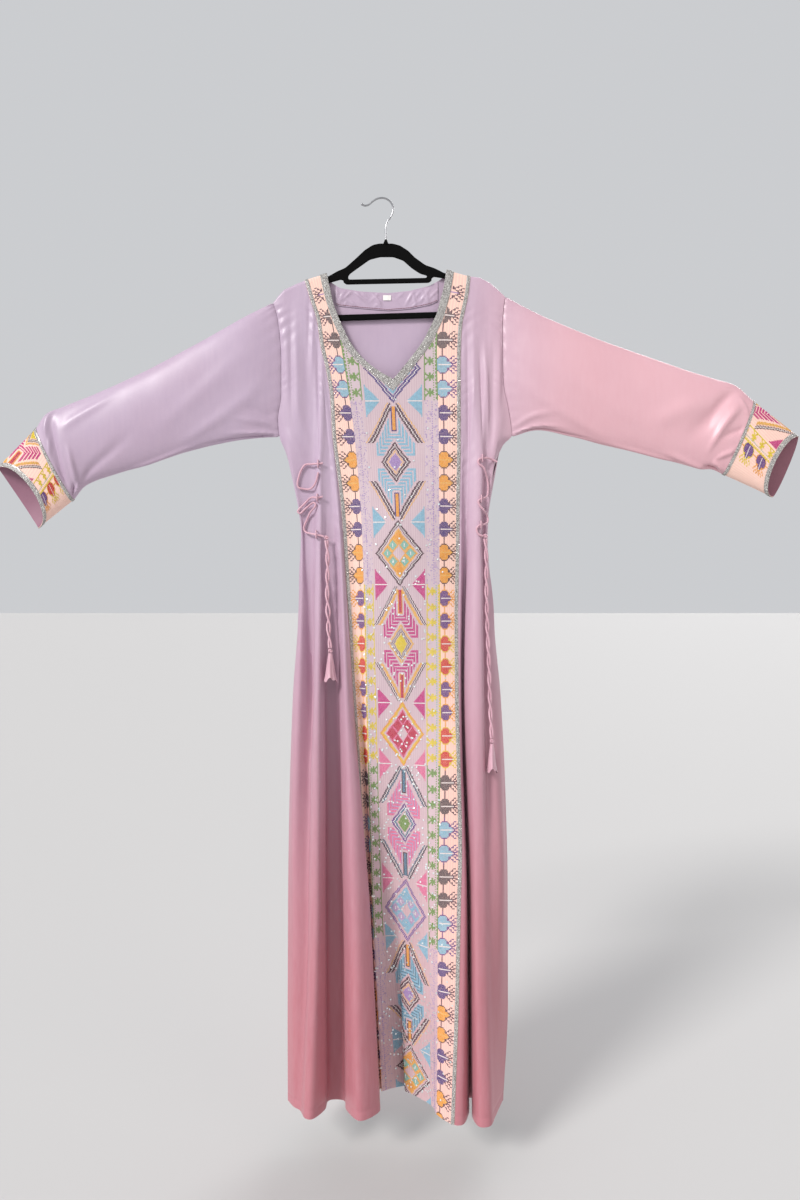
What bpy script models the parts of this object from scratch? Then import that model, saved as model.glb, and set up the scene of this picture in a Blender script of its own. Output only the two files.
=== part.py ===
"""A satin jalabiya with an embroidered centre panel, hanging on a slim flocked hanger.

Each sewn piece is a thin cloth wall of its own. Tables and sizes are in millimetres and become
metres when a mesh is made. +X is the viewer's right, -Y faces the viewer and +Z is up. The origin
is the inner crown of the hanger's hook, where a peg holds it.
"""

import math

import bpy
import numpy as np

MM = 0.001

# Wall thicknesses and clearances
SATIN = 1.5
TRIM = 1.0
GAP = 0.3
SEAM = 0.5

# Heights of the garment. Above the yoke the level lines follow the slope of the shoulders.
TOP = -132.0
YOKE = -270.0
NECK_TIP = -318.0
UNDERARM = -414.0
WAIST = -600.0
THIGH = -860.0
KNEE = -1200.0
HEM = -1558.0

# Cloth over the hanger's shoulders, down to the level where it hangs flat
WRAPPED = -152.0
RIDGE_RADIUS = 5.0
RIDGE_HALF_GAP = 0.45
BACK_DEPTH = 5.6
FRONT_AT_YOKE = -9.0
BACK_AT_YOKE = 6.0

# Rows of each body piece, as levels from the shoulder to the hem
LEVELS = (
    TOP, -133.5, -137, WRAPPED, -180, -212, -243, YOKE, -294, NECK_TIP, -355, -392, UNDERARM, -450,
    -495, -545, WAIST, -690, -775, THIGH, -975, -1090, KNEE, -1320, -1440, HEM,
)

# Shoulder line on top of the hanger: x and height of the outer side of the cloth
SHOULDERS = (
    (-192, -182), (-184, -172), (-172, -159), (-152, -149), (-135, -142), (-107, -133), (-97, -130),
    (111, -124), (116, -126), (149, -135), (170, -138), (187, -147), (201, -159), (214, -172),
)

# Edges of the front pieces: level, x, y
LEFT_SIDE = (
    (TOP, -192, -5), (-176, -185, -5), (-223, -180, -5.5), (-283, -177, -6), (-344, -177, -6),
    (-388, -183, -4), (UNDERARM, -181, -1.7), (-443, -170, -1.2), (-469, -162, -2), (-499, -154, -3),
    (-536, -148, -3), (-588, -143, -3), (-649, -145, -4), (-754, -148, -6), (-876, -155, -10),
    (-1048, -161, -15), (-1220, -163, -20), (-1390, -163, -26), (HEM, -162, -32),
)
RIGHT_SIDE = (
    (TOP, 213, -5), (-166, 210, -5), (-215, 208, -5.5), (-283, 208, -6), (-327, 210, -6),
    (-361, 217, -5), (-395, 223, -3), (UNDERARM, 225, -1.7), (-429, 211, -1.3), (-454, 199, -2),
    (-483, 190, -3), (-527, 184, -3), (-606, 183, -3), (-684, 189, -4), (-771, 195, -6),
    (-876, 204, -10), (-1040, 212, -15), (-1185, 215, -20), (-1390, 215, -26), (HEM, 206, -32),
)
PANEL_LEFT = (
    (TOP, -137, -5), (-179, -125, -6), (-214, -115, -7), (-258, -109, -9), (-302, -99, -10),
    (-346, -92, -11), (UNDERARM, -88, -13), (-494, -78, -16), (-546, -72, -19), (-633, -66, -24),
    (-736, -59, -30), (THIGH, -51, -38), (-992, -42, -37), (-1208, -34, -30), (-1391, -27, -24),
    (HEM, -19, -20),
)
PANEL_RIGHT = (
    (TOP, 153, -5), (-161, 150, -6), (-197, 143, -7), (-223, 138, -8), (-258, 136, -8),
    (-320, 135, -11), (-430, 135, -14), (-529, 133, -20), (-607, 132, -25), (-736, 129, -36),
    (-859, 129, -48), (-971, 131, -60), (-1118, 133, -74), (-1199, 131, -80), (-1360, 127, -90),
    (HEM, 119, -102),
)

# Fold lines, one row each from left to right: x at the yoke, then x, y at the underarm, the waist,
# the thigh, the knee and the hem.
LEFT_FOLDS = {
    "rear crest": (-169, -167, -10, -140, -12, -144, -24, -149, -42, -149, -52),
    "rear valley": (-149, -147, -12, -136, -8, -124, -14, -125, -46, -138, -62),
    "pleat valley": (-125, -121, -10, -120, -13, -119, -36, -121, -60, -132, -75),
    "pleat edge": (-116, -111, -17, -114, -26, -117, -50, -119, -68, -128, -83),
    "second crest": (-114, -108, -17, -107, -30, -108, -58, -108, -77, -117, -87),
    "second far side": (-113, -104, -15, -102, -26, -99, -44, -97, -55, -97, -60),
    "recess left": (-112, -100, -14, -96, -20, -98, -22, -95, -26, -92, -33),
    "recess right": (-111.4, -96, -13, -84, -20, -77, -22, -70, -26, -66, -33),
    "third near side": (-110.7, -93, -14, -77, -26, -72, -42, -65, -54, -60, -60),
    "third crest": (-110, -91, -14, -73, -28, -61, -54, -47, -78, -36, -91),
    "third far side": (-109.5, -89.5, -14, -70.5, -26, -53.5, -47, -23, -62, -4, -62),
    "tuck": (-109.2, -88.7, -13.5, -69.7, -24.5, -51, -42, -28, -43, -11, -37),
}
PANEL_FOLDS = {
    "border dip": (-90, -69, -13, -52, -20, -39, -28, -19, -12, 5, 9),
    "left band outside": (-73, -51, -13, -36, -26, -29, -36, -19, -26, -2, -6),
    "left band inside": (-45, -31, -13, -19, -30, -12, -38, -3, -20, 17, 4),
    "crease back": (-15, -5, -14, 4, -34, 11, -42, 17, -20, 48, 13),
    "crease front": (-3, 5.5, -14, 14, -36, 22, -44, 28, -26, 39, -3),
    "panel centre": (15, 20.5, -14, 28, -38, 34, -46, 41, -36, 51, -14),
    "right band inside": (72, 73, -15, 76, -36, 75, -50, 78, -68, 85, -50),
    "right band outside": (96, 99, -15, 99, -32, 101, -52, 95, -76, 92, -74),
}
RIGHT_FOLDS = {
    "satin crest": (140, 138, -13, 135, -25, 131, -48, 137, -80, 131, -102),
    "gap near side": (144, 141, -12, 137, -20, 134, -38, 142, -60, 145, -68),
    "gap floor left": (148, 144.5, -11, 141, -15, 136, -16, 145, -20, 148, -26),
    "gap floor right": (153, 149, -11, 145, -15, 141, -16, 150, -20, 154, -26),
    "first far side": (158, 153, -14, 148, -20, 140, -40, 147.5, -60, 150, -82),
    "first crest": (169, 164, -18, 160, -30, 154, -58, 155, -85, 160, -107),
    "ridge": (179, 173, -18, 168, -30, 167, -56, 167, -83, 176, -105),
    "side recess": (187, 181, -11, 174, -13, 174, -32, 180, -72, 187, -80),
    "side crest": (197, 196, -12, 179, -16, 185, -36, 198, -60, 197, -55),
}
BACK_FOLDS = {
    "left turn": (-168, -165, 6, -139, 5, -150, 3, -158, 3, -158, 0),
    "left fold": (-134, -130, 8, -118, 11, -126, 20, -132, 30, -132, 33),
    "left hollow": (-90, -86, 7, -80, 9, -84, 14, -86, 20, -88, 21),
    "inner left": (-40, -36, 8, -38, 12, -40, 23, -42, 35, -42, 39),
    "middle": (15, 16, 7, 18, 10, 20, 18, 22, 26, 20, 29),
    "inner right": (70, 72, 8, 76, 12, 82, 23, 86, 35, 84, 41),
    "right hollow": (116, 118, 7, 120, 9, 130, 14, 138, 20, 134, 21),
    "right fold": (160, 164, 8, 158, 11, 172, 20, 184, 30, 176, 33),
    "right turn": (198, 204, 6, 180, 5, 198, 3, 210, 3, 202, 0),
}
FOLD_LEVELS = (YOKE, UNDERARM, WAIST, THIGH, KNEE, HEM)

# V neck: x and level of its inner edge, then of the glitter band's outer edge
NECK_LEFT = (
    (-98, TOP, -110, TOP), (-92, -161, -104, -161), (-87, -184, -97, -188), (-77, -211, -89, -212),
    (-68, -232, -78, -237), (-54, -258, -66, -262), (-31, -285, -43, -288), (-5, -305, -17, -310),
    (18, NECK_TIP, 18, -338),
)
NECK_RIGHT = (
    (111, TOP, 124, TOP), (105, -166, 118, -166), (99, -187, 112, -191), (94, -205, 105, -214),
    (82, -229, 92, -240), (71, -250, 79, -262), (52, -276, 57, -291), (33, -300, 38, -315),
    (18, NECK_TIP, 18, -338),
)
# Half the width in which the back turns from the shoulder down to the back neck
NECK_TURN = 1.5
# Back neck: x, height of the cloth's edge, height of the facing's lower edge
BACK_NECK = (
    (-97, -137, -176), (-90, -145, -181), (-76, -154, -186), (-40, -160, -190), (9, -163, -194),
    (47, -159, -191), (82, -150, -184), (100, -140, -176), (110, -131, -170),
)

# Sleeves, ring by ring from the shoulder to the cuff: top x, z, low x, z, the middle's y, and how
# far the front and the back reach from it
LEFT_SLEEVE = (
    (-232, -203, -223, -419, -3, 15, 11), (-293, -238, -281, -428, -5, 19, 14),
    (-362, -277, -343, -444, -7, 21, 16), (-431, -313, -405, -465, -9, 22, 17),
    (-491, -341, -456, -480, -11, 22, 18), (-551, -366, -499, -495, -13, 22, 18),
    (-582, -380, -518, -506, -15, 22, 18), (-599, -404, -535, -527, -15, 21, 17),
)
RIGHT_SLEEVE = (
    (257, -196, 269, -405, -3, 15, 11), (317, -224, 326, -416, -5, 19, 14),
    (387, -253, 387, -432, -7, 21, 16), (456, -278, 447, -446, -9, 22, 17),
    (516, -300, 502, -460, -11, 22, 18), (571, -318, 550, -474, -13, 22, 18),
    (610, -331, 570, -475, -15, 22, 18), (640, -357, 588, -483, -15, 21, 17),
)
# Cuff openings: top x, z, low x, z, the middle's y, then x and z by which the front edge and the
# back edge lie off the line between them
CUFF_REACH = 20.0
CUFF_OPENINGS = {
    "left": (-667, -473, -597, -577, -15, 33, 11, -5, -1),
    "right": (719, -419, 676, -523, -15, -30, -3, 15, 5),
}

# Columns of faces across each piece. The back has some at each shoulder and some under the neck.
LEFT_COLUMNS = 21
RIGHT_COLUMNS = 19
PANEL_HALF_COLUMNS = (9, 7)
BACK_SHOULDER_COLUMNS = 5
BACK_NECK_COLUMNS = 8

BRAID_WIDTH = 6.0
CUFF_BRAID_WIDTH = 9.0
LABEL_SIZE = (14.0, 9.0)
LABEL_AT = (7.0, -172.0)

# Hanger: x, z of the part of its top edge that shows, of its two ends and of the bar below, and
# of the two holes through it
HANGER_THICKNESS = 5.0
HANGER_UNDER_CLOTH = 4.2
HANGER_NECK = (
    (-112, -138.6), (-104, -138), (-96, -136), (-88, -131.6), (-80, -127), (-66, -121), (-49, -106),
    (-32, -90), (-18, -81), (-7, -78.5), (17, -78.5), (30, -82), (44, -91), (56, -103), (74, -116),
    (90, -121.5), (99, -125.8), (106, -129.6), (112, -131.4), (120, -132.2),
)
HANGER_LEFT_END = (-181, -176)
HANGER_RIGHT_END = (203, -168)
HANGER_FOOT = ((203, -176), (196, -194), (180, -205), (-157, -216), (-174, -206), (-182, -182))
TIE_HOLE = (
    (-58, -131), (-40, -118), (-23, -106), (-5, -101.5), (18, -101.5), (35, -107.5), (51, -121.5),
    (65, -130.5), (77, -134), (76, -138.5), (-60, -141.5), (-61, -136),
)
BAR_HOLE = (
    (-168, -173), (-150, -164), (-98, -148), (-74, -141), (-69.5, -142.5), (-69, -146),
    (-64, -149.5), (80, -146.5), (85, -143), (85, -139), (89, -136), (114, -140), (150, -152),
    (190, -168), (192, -176), (186, -190),
    (176, -195.5), (-154, -205.5), (-165, -198), (-171, -182),
)
HOOK_RADIUS = 1.6
HOOK = (
    (5, -78.2), (5, -64), (5, -50), (7.5, -40), (14, -31), (17.5, -22), (17, -12), (11, -3),
    (1, 1.6), (-10, 0.5), (-19, -5), (-26, -10.5), (-33, -11.5), (-38, -8),
)

# Side lacing of satin cord. It runs under small loops that stand on a fold at each side.
CORD_RADIUS = 1.7
LACE_LIFT = 0.8
CORD_SPACING = 7.5
TAIL_SPACING = 10.5
LOOP_RADIUS = 1.1
LOOP_HALF_HEIGHT = 6.0
LOOP_HEIGHTS = {"left": (-467, -526, -589), "right": (-458, -528, -573)}
LOOP_FOLDS = {"left": "pleat edge", "right": "ridge"}
LACES = {
    "left_upper": (
        (-103, -466), (-112, -467), (-124, -467), (-134, -467), (-140, -474), (-145, -486),
        (-148, -500), (-146, -507), (-138, -509), (-129, -510), (-121, -507), (-115, -498),
        (-111, -482),
    ),
    "left_lower": (
        (-103, -524), (-112, -526), (-123, -525), (-134, -533), (-146, -545), (-149, -550), (-143, -552),
        (-133, -542), (-122, -535), (-115, -535), (-117, -542), (-126, -551), (-132, -563),
        (-137, -576), (-135, -583), (-125, -587), (-113, -590), (-104, -592),
    ),
    "right": (
        (198, -463), (190, -459), (182, -457), (172, -458), (165, -460), (165, -467), (173, -473),
        (179, -486), (182, -501), (182, -514), (179, -524), (170, -528), (164, -532), (167, -540),
        (175, -549), (181, -558), (181, -567), (174, -572), (165, -574), (161, -580), (163, -588),
        (169, -592),
    ),
}
# Each tail: x, y, z of its middle line from the tying knot to the tassel, and half the distance
# between its two cords
TAILS = {
    "left": (
        (-96, -34, -600, 2.05), (-94, -36, -630, 2.3), (-94, -38, -665, 2.3), (-94, -41, -700, 2.4),
        (-92, -45, -727, 3.4), (-91, -49, -755, 2.5), (-88, -54, -783, 2.05),
    ),
    "right": (
        (176, -30, -597, 2.05), (178, -29, -630, 2.3), (178, -32, -690, 2.4), (179, -37, -754, 2.4),
        (181, -42, -812, 2.3), (182, -48, -870, 2.3), (184, -60, -934, 2.05),
    ),
}
TWIST = 60.0
KNOT_RADIUS = 4.2
# Tassel outline from its neck to its mouth: share of the length down, share of the mouth's radius
TASSEL_LENGTH = 49.0
TASSEL_MOUTH = {"left": 12.5, "right": 10.0}
TASSEL_PROFILE = ((0, 0.26), (0.12, 0.36), (0.35, 0.5), (0.6, 0.62), (0.82, 0.78), (1, 1))
TASSEL_SIDES = 12


# Smooth curves and tables

def rows_of(table, column):
    return np.array([row[column] for row in table], float)


def eased(knots, values, at):
    """A smooth curve through values given at falling knots, which never overshoots them."""
    k, v = -np.asarray(knots, float), np.asarray(values, float)
    h, slope = np.diff(k), np.diff(v) / np.diff(k)
    rate = np.zeros(len(v))
    for i in range(1, len(v) - 1):
        if slope[i - 1] * slope[i] > 0:
            a, b = 2 * h[i] + h[i - 1], h[i] + 2 * h[i - 1]
            rate[i] = (a + b) / (a / slope[i - 1] + b / slope[i])
    rate[0], rate[-1] = slope[0], slope[-1]
    x = np.clip(-np.asarray(at, float), k[0], k[-1])
    i = np.clip(np.searchsorted(k, x) - 1, 0, len(h) - 1)
    f = (x - k[i]) / h[i]
    rise = v[i] + h[i] * rate[i] * f
    turn = 3 * (v[i + 1] - v[i]) - h[i] * (2 * rate[i] + rate[i + 1])
    end = 2 * (v[i] - v[i + 1]) + h[i] * (rate[i] + rate[i + 1])
    return rise + turn * f ** 2 + end * f ** 3


def smooth(share):
    share = np.clip(share, 0, 1)
    return share * share * (3 - 2 * share)


def through(points, at):
    """Points at places `at`, counted in points, on a rounded curve through the given points."""
    points = np.asarray(points, float)
    p = np.vstack([2 * points[0] - points[1], points, 2 * points[-1] - points[-2]])
    h = np.maximum(np.linalg.norm(np.diff(p, axis=0), axis=1), 1e-6) ** 0.5
    slope = np.diff(p, axis=0) / h[:, None]
    share = (h[:-1] / (h[:-1] + h[1:]))[:, None]
    rate = slope[:-1] * (1 - share) + slope[1:] * share
    i = np.clip(np.floor(at).astype(int), 0, len(points) - 2)
    f = (np.asarray(at) - i)[:, None]
    step = h[i + 1][:, None]
    a, b, m, n = points[i], points[i + 1], rate[i] * step, rate[i + 1] * step
    return a + m * f + (3 * (b - a) - 2 * m - n) * f ** 2 + (2 * (a - b) + m + n) * f ** 3


def run_along(points):
    return np.concatenate([[0], np.cumsum(np.linalg.norm(np.diff(points, axis=0), axis=1))])


# The hanging cloth as fold lines

def shoulder_height(x):
    return np.interp(x, rows_of(SHOULDERS, 0), rows_of(SHOULDERS, 1)) - SATIN / 2


def height(level, x):
    """Height of a point on a level line, which follows the shoulders at the top."""
    share = np.clip((level - YOKE) / (TOP - YOKE), 0, 1)
    return level + share * (shoulder_height(x) - TOP)


def over_ridge(level):
    """How much of its depth the cloth has, as it turns over the hanger's shoulder."""
    fall = np.clip((TOP - level) / RIDGE_RADIUS, 0, 1)
    return np.maximum(np.sqrt(1 - (1 - fall) ** 2), RIDGE_HALF_GAP / RIDGE_RADIUS)


def edge_at(table, level):
    levels = rows_of(table, 0)
    return np.array([eased(levels, rows_of(table, 1), level), eased(levels, rows_of(table, 2), level)])


def fold_at(row, level, yoke_y, top_x):
    xs = (top_x,) + (row[0],) + row[1::2]
    ys = (math.copysign(RIDGE_RADIUS, yoke_y), yoke_y) + row[2::2]
    return np.array([eased((TOP,) + FOLD_LEVELS, xs, level), eased((TOP,) + FOLD_LEVELS, ys, level)])


def fold_points(folds, left, right, level, yoke_y):
    """The points of a piece's inner fold lines at a level, in line with its edges at the top."""
    yoke = [edge_at(left, YOKE)[0], edge_at(right, YOKE)[0]]
    top = [edge_at(left, TOP)[0], edge_at(right, TOP)[0]]
    return [fold_at(row, level, yoke_y, np.interp(row[0], yoke, top)) for row in folds.values()]


def front_points(level):
    return np.array(
        [edge_at(LEFT_SIDE, level)]
        + fold_points(LEFT_FOLDS, LEFT_SIDE, PANEL_LEFT, level, FRONT_AT_YOKE)
        + [edge_at(PANEL_LEFT, level)]
        + fold_points(PANEL_FOLDS, PANEL_LEFT, PANEL_RIGHT, level, FRONT_AT_YOKE)
        + [edge_at(PANEL_RIGHT, level)]
        + fold_points(RIGHT_FOLDS, PANEL_RIGHT, RIGHT_SIDE, level, FRONT_AT_YOKE)
        + [edge_at(RIGHT_SIDE, level)]
    )


def back_points(level):
    """The back's lines. Its edges mirror the front's round the armholes and lie behind them below."""
    ends = [edge_at(table, level) for table in (LEFT_SIDE, RIGHT_SIDE)]
    for end in ends:
        end[1] = -end[1] if level >= UNDERARM else end[1] + SATIN + SEAM
    folds = fold_points(BACK_FOLDS, LEFT_SIDE, RIGHT_SIDE, level, BACK_AT_YOKE)
    return np.array([ends[0]] + folds + [ends[1]])


def layer(which, level, at):
    """x, y, z of places counted in fold lines across one layer of the body, at a level."""
    flat = through(front_points(level) if which == "front" else back_points(level), at)
    deep = flat[:, 1] * over_ridge(level)
    return np.column_stack([flat[:, 0], deep, height(level, flat[:, 0])])


LINES = (
    ["left side"] + list(LEFT_FOLDS) + ["panel left"] + list(PANEL_FOLDS)
    + ["panel right"] + list(RIGHT_FOLDS) + ["right side"]
)
PANEL_START, PANEL_MIDDLE = LINES.index("panel left"), LINES.index("panel centre")
PANEL_END, LAST_LINE = LINES.index("panel right"), len(LINES) - 1


def seam_slack(level, line):
    """Half the gap that two pieces need at a seam, which grows where the cloth turns there."""
    if line in (0, LAST_LINE):
        return 0
    turn = np.array([line - 0.4, line, line + 0.4])
    a, b = np.diff(layer("front", level, turn)[:, :2], axis=0)
    angle = abs(math.atan2(a[0] * b[1] - a[1] * b[0], a @ b))
    return SEAM / 2 + SATIN / 2 * math.tan(min(angle, 2.0) / 2)


def evenly(which, level, first, last, count):
    """Line numbers of columns at even distances along the cloth, with half a seam left at each end."""
    fine = np.linspace(first, last, 12 * (last - first) + 1)
    run = run_along(layer(which, level, fine))
    want = np.linspace(0, run[-1], count + 1)
    if which == "front":
        want[0], want[-1] = seam_slack(level, first), run[-1] - seam_slack(level, last)
    return np.interp(want, run, fine)


def columns(which, level, first, last, count):
    """Columns that are even on the chest and keep to their folds below the waist."""
    here = evenly(which, level, first, last, count)
    hang = smooth((YOKE - level) / (YOKE - WAIST))
    mixed = (1 - hang) * here + hang * evenly(which, KNEE, first, last, count)
    mixed[0], mixed[-1] = here[0], here[-1]
    return mixed


def front_spot(x, level):
    """The point of the front at an x, on its foremost layer there."""
    fine = np.linspace(0, LAST_LINE, 8 * LAST_LINE + 1)
    cloth = layer("front", level, fine)
    crossings = []
    for a, b in zip(cloth[:-1], cloth[1:]):
        if min(a[0], b[0]) <= x <= max(a[0], b[0]) and a[0] != b[0]:
            crossings.append(a + (b - a) * (x - a[0]) / (b[0] - a[0]))
    if not crossings:
        crossings = [cloth[0] if x < cloth[0, 0] else cloth[-1]]
    y = min(crossing[1] for crossing in crossings)
    return np.array([x, y, height(level, x)])


# Meshes from grids of points

def grid_faces(rows, wide, closed=False):
    faces = []
    for r in range(rows - 1):
        for c in range(wide if closed else wide - 1):
            d = (c + 1) % wide
            faces.append((r * wide + c, r * wide + d, (r + 1) * wide + d, (r + 1) * wide + c))
    return faces


def lifted(grid, distance, closed=False):
    """A grid moved along its own normals. A positive distance is to the left of down x across."""
    grid = np.asarray(grid, float)
    down = np.gradient(grid, axis=0)
    if closed:
        across = np.roll(grid, -1, axis=1) - np.roll(grid, 1, axis=1)
    else:
        across = np.gradient(grid, axis=1)
    normal = np.cross(down, across)
    normal /= np.linalg.norm(normal, axis=2, keepdims=True)
    return grid + distance * normal


def new_object(name, mesh, material):
    mesh.materials.append(material)
    thing = bpy.data.objects.new(name, mesh)
    PARTS.objects.link(thing)
    return thing


def wall(name, grids, thickness, material, closed=False):
    """A cloth wall round one or more grids of its middle surface, which are joined where they touch."""
    points, faces = [], []
    for grid in grids:
        grid = np.asarray(grid, float)
        rows, wide = grid.shape[:2]
        start = len(points)
        points += list(grid.reshape(-1, 3) * MM)
        faces += [tuple(start + i for i in face) for face in grid_faces(rows, wide, closed)]
    mesh = bpy.data.meshes.new(name)
    mesh.from_pydata(points, [], faces)
    mesh.validate()
    thing = new_object(name, mesh, material)
    if len(grids) > 1:
        weld = thing.modifiers.new("join", "WELD")
        weld.merge_threshold = 1e-6
    thick = thing.modifiers.new("cloth", "SOLIDIFY")
    thick.thickness = thickness * MM
    thick.offset = 0
    return thing


def tube(name, points, radius, material):
    """A round cord or wire through the points, with closed ends."""
    line = bpy.data.curves.new(name, "CURVE")
    line.dimensions = "3D"
    line.bevel_depth = radius * MM
    line.bevel_resolution = 2
    line.use_fill_caps = True
    spline = line.splines.new("POLY")
    spline.points.add(len(points) - 1)
    for spot, p in zip(spline.points, points):
        spot.co = (*(np.asarray(p) * MM), 1)
    return new_object(name, line, material)


def routed(points, spacing):
    """A smooth route through hand-placed points, with a point at every `spacing`."""
    fine = through(points, np.linspace(0, len(points) - 1, 20 * len(points)))
    run = run_along(fine)
    want = np.linspace(0, run[-1], max(int(round(run[-1] / spacing)), 2) + 1)
    return np.column_stack([np.interp(want, run, fine[:, i]) for i in range(3)])


# Materials

def surface(name, colour, roughness, metallic=0.0):
    material = bpy.data.materials.new(name)
    material.use_nodes = True
    shader = material.node_tree.nodes["Principled BSDF"]
    shader.inputs["Base Color"].default_value = (*colour, 1)
    shader.inputs["Roughness"].default_value = roughness
    shader.inputs["Metallic"].default_value = metallic
    material.diffuse_color = (*colour, 1)
    return material


# The garment

def panel_half(edge, neck, count):
    """One half of the centre panel, from its outer edge to the middle or to the V neck."""
    inward = 1 if edge == PANEL_START else -1
    levels = rows_of(neck, 1)
    grid = []
    for level in LEVELS:
        fine = np.linspace(edge, PANEL_MIDDLE, 160)
        cloth = layer("front", level, fine)
        run = run_along(cloth)
        end = run[-1]
        if level > NECK_TIP:
            reach = inward * cloth[:, 0]
            end = np.interp(inward * eased(levels, rows_of(neck, 0), level), reach, run)
        start = seam_slack(level, edge)
        want = np.concatenate([[start], np.linspace(start + BRAID_WIDTH + 1, end, count)])
        if end - start < 3 * BRAID_WIDTH:
            want = np.linspace(start, end, count + 1)
        grid.append(layer("front", level, np.interp(want, run, fine)))
    return np.array(grid)[:, ::inward]


def body(satin, embroidery):
    left = [layer("front", z, columns("front", z, 0, PANEL_START, LEFT_COLUMNS)) for z in LEVELS]
    right = [layer("front", z, columns("front", z, PANEL_END, LAST_LINE, RIGHT_COLUMNS)) for z in LEVELS]
    wall("front_side_left", [left], SATIN, satin)
    wall("front_side_right", [right], SATIN, satin)
    halves = [
        panel_half(edge, neck, count)
        for edge, neck, count in zip((PANEL_START, PANEL_END), (NECK_LEFT, NECK_RIGHT), PANEL_HALF_COLUMNS)
    ]
    wall("centre_panel", halves, SATIN, embroidery)
    return halves


def back_columns(level):
    """Columns of the back, which stand close together where the neck meets the shoulders."""
    last = len(BACK_FOLDS) + 1
    fine = np.linspace(0, last, 12 * last + 1)
    across = layer("back", level, fine)[:, 0]
    left, right = BACK_NECK[0][0], BACK_NECK[-1][0]
    turn = NECK_TURN
    xs = np.concatenate([
        np.linspace(across[0], left - turn, BACK_SHOULDER_COLUMNS + 1),
        np.linspace(left + turn, right - turn, BACK_NECK_COLUMNS + 1),
        np.linspace(right + turn, across[-1], BACK_SHOULDER_COLUMNS + 1),
    ])
    here = np.interp(xs, across, fine)
    hang = smooth((YOKE - level) / (YOKE - WAIST))
    return (1 - hang) * here + hang * evenly("back", KNEE, 0, last, len(xs) - 1)


def back_grid():
    """The back's middle surface. Its top edge is cut down to the back neck between the shoulders."""
    neck_x, neck_z = rows_of(BACK_NECK, 0), rows_of(BACK_NECK, 1)
    grid = []
    for level in LEVELS:
        row = layer("back", level, back_columns(level))
        for spot in row:
            if level > YOKE and neck_x[0] < spot[0] < neck_x[-1]:
                share = (level - YOKE) / (TOP - YOKE)
                spot[2] = YOKE + share * (np.interp(spot[0], neck_x, neck_z) - YOKE)
                spot[1] = max(spot[1], BACK_DEPTH)
        grid.append(row)
    return np.array(grid)


def depth_on(grid, x, z):
    """How deep a piece's surface lies at an x and a height."""
    depths = [np.interp(x, row[:, 0], row[:, 1]) for row in grid]
    heights = [np.interp(x, row[:, 0], row[:, 2]) for row in grid]
    return np.interp(z, heights[::-1], depths[::-1])


def back_neck(cloth, satin, plain):
    """The facing inside the back neck, and the small label sewn on it."""
    clear = SATIN / 2 + GAP + TRIM / 2
    grid = []
    for share in (0, 0.5, 1):
        across = []
        for x in np.linspace(BACK_NECK[0][0] + 14, BACK_NECK[-1][0] - 14, 17):
            upper = np.interp(x, rows_of(BACK_NECK, 0), rows_of(BACK_NECK, 1)) - 0.4
            lower = np.interp(x, rows_of(BACK_NECK, 0), rows_of(BACK_NECK, 2))
            z = upper + share * (lower - upper)
            across.append((x, depth_on(cloth, x, z) - clear, z))
        grid.append(across)
    wall("back_neck_facing", [grid], TRIM, satin)
    x, middle = LABEL_AT
    wide, tall = LABEL_SIZE
    y = depth_on(cloth, x, middle) - clear - TRIM - GAP - 0.1
    grid = [[(x + side * wide / 2, y, middle + up * tall / 2) for side in (-1, 1)] for up in (1, -1)]
    wall("neck_label", [grid], TRIM, plain)


def between(a, b, share):
    return a + (b - a) * share


def trims(halves, silver):
    """Glitter braid on both long edges of the panel, and the band round the V neck."""
    lift = SATIN / 2 + GAP + TRIM / 2
    for side, half, edge, inner in (("left", halves[0], 0, 1), ("right", halves[1], -1, -2)):
        above = lifted(half, lift)
        strip = [between(above[:, edge], above[:, inner], share) for share in (0.06, 0.94)]
        strip = strip if side == "left" else strip[::-1]
        wall(f"panel_braid_{side}", [np.swapaxes(strip, 0, 1)], TRIM, silver)
    left, right = neck_rows(NECK_LEFT), neck_rows(NECK_RIGHT)
    grid = [[outer, (inner + outer) / 2, inner] for inner, outer in left + right[-2::-1]]
    wall("neck_band", [lifted(grid, lift)], TRIM, silver)


def neck_rows(table):
    """Points on the inner and the outer edge of one side of the neck band, from shoulder to tip."""
    rows = []
    for level in LEVELS[:LEVELS.index(NECK_TIP) + 1]:
        lower = level + (table[-1][3] - NECK_TIP) * np.clip((level - WRAPPED) / (NECK_TIP - WRAPPED), 0, 1)
        inner = front_spot(eased(rows_of(table, 1), rows_of(table, 0), level), level)
        outer = front_spot(eased(rows_of(table, 3), rows_of(table, 2), lower), lower)
        rows.append((inner, outer))
    return rows


def armhole(side):
    """The sleeve's first ring, just outside the armhole, and the turn of each of its points."""
    table, outward = (LEFT_SIDE, -1) if side == "left" else (RIGHT_SIDE, 1)
    down = LEVELS[:LEVELS.index(UNDERARM) + 1]
    loop = [(level, 1) for level in down] + [(level, -1) for level in down[-2:0:-1]]
    ring, turn = [], []
    for level, facing in loop:
        x, y = edge_at(table, level)
        y *= over_ridge(level) * facing
        if level in (TOP, UNDERARM):
            y = 0
        ring.append((x + outward * SEAM, y, height(level, x) - (SATIN if level == UNDERARM else 0)))
        angle = math.acos(1 - 2 * (TOP - level) / (TOP - UNDERARM))
        turn.append(angle if facing > 0 else 2 * math.pi - angle)
    return np.array(ring), turn


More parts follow.
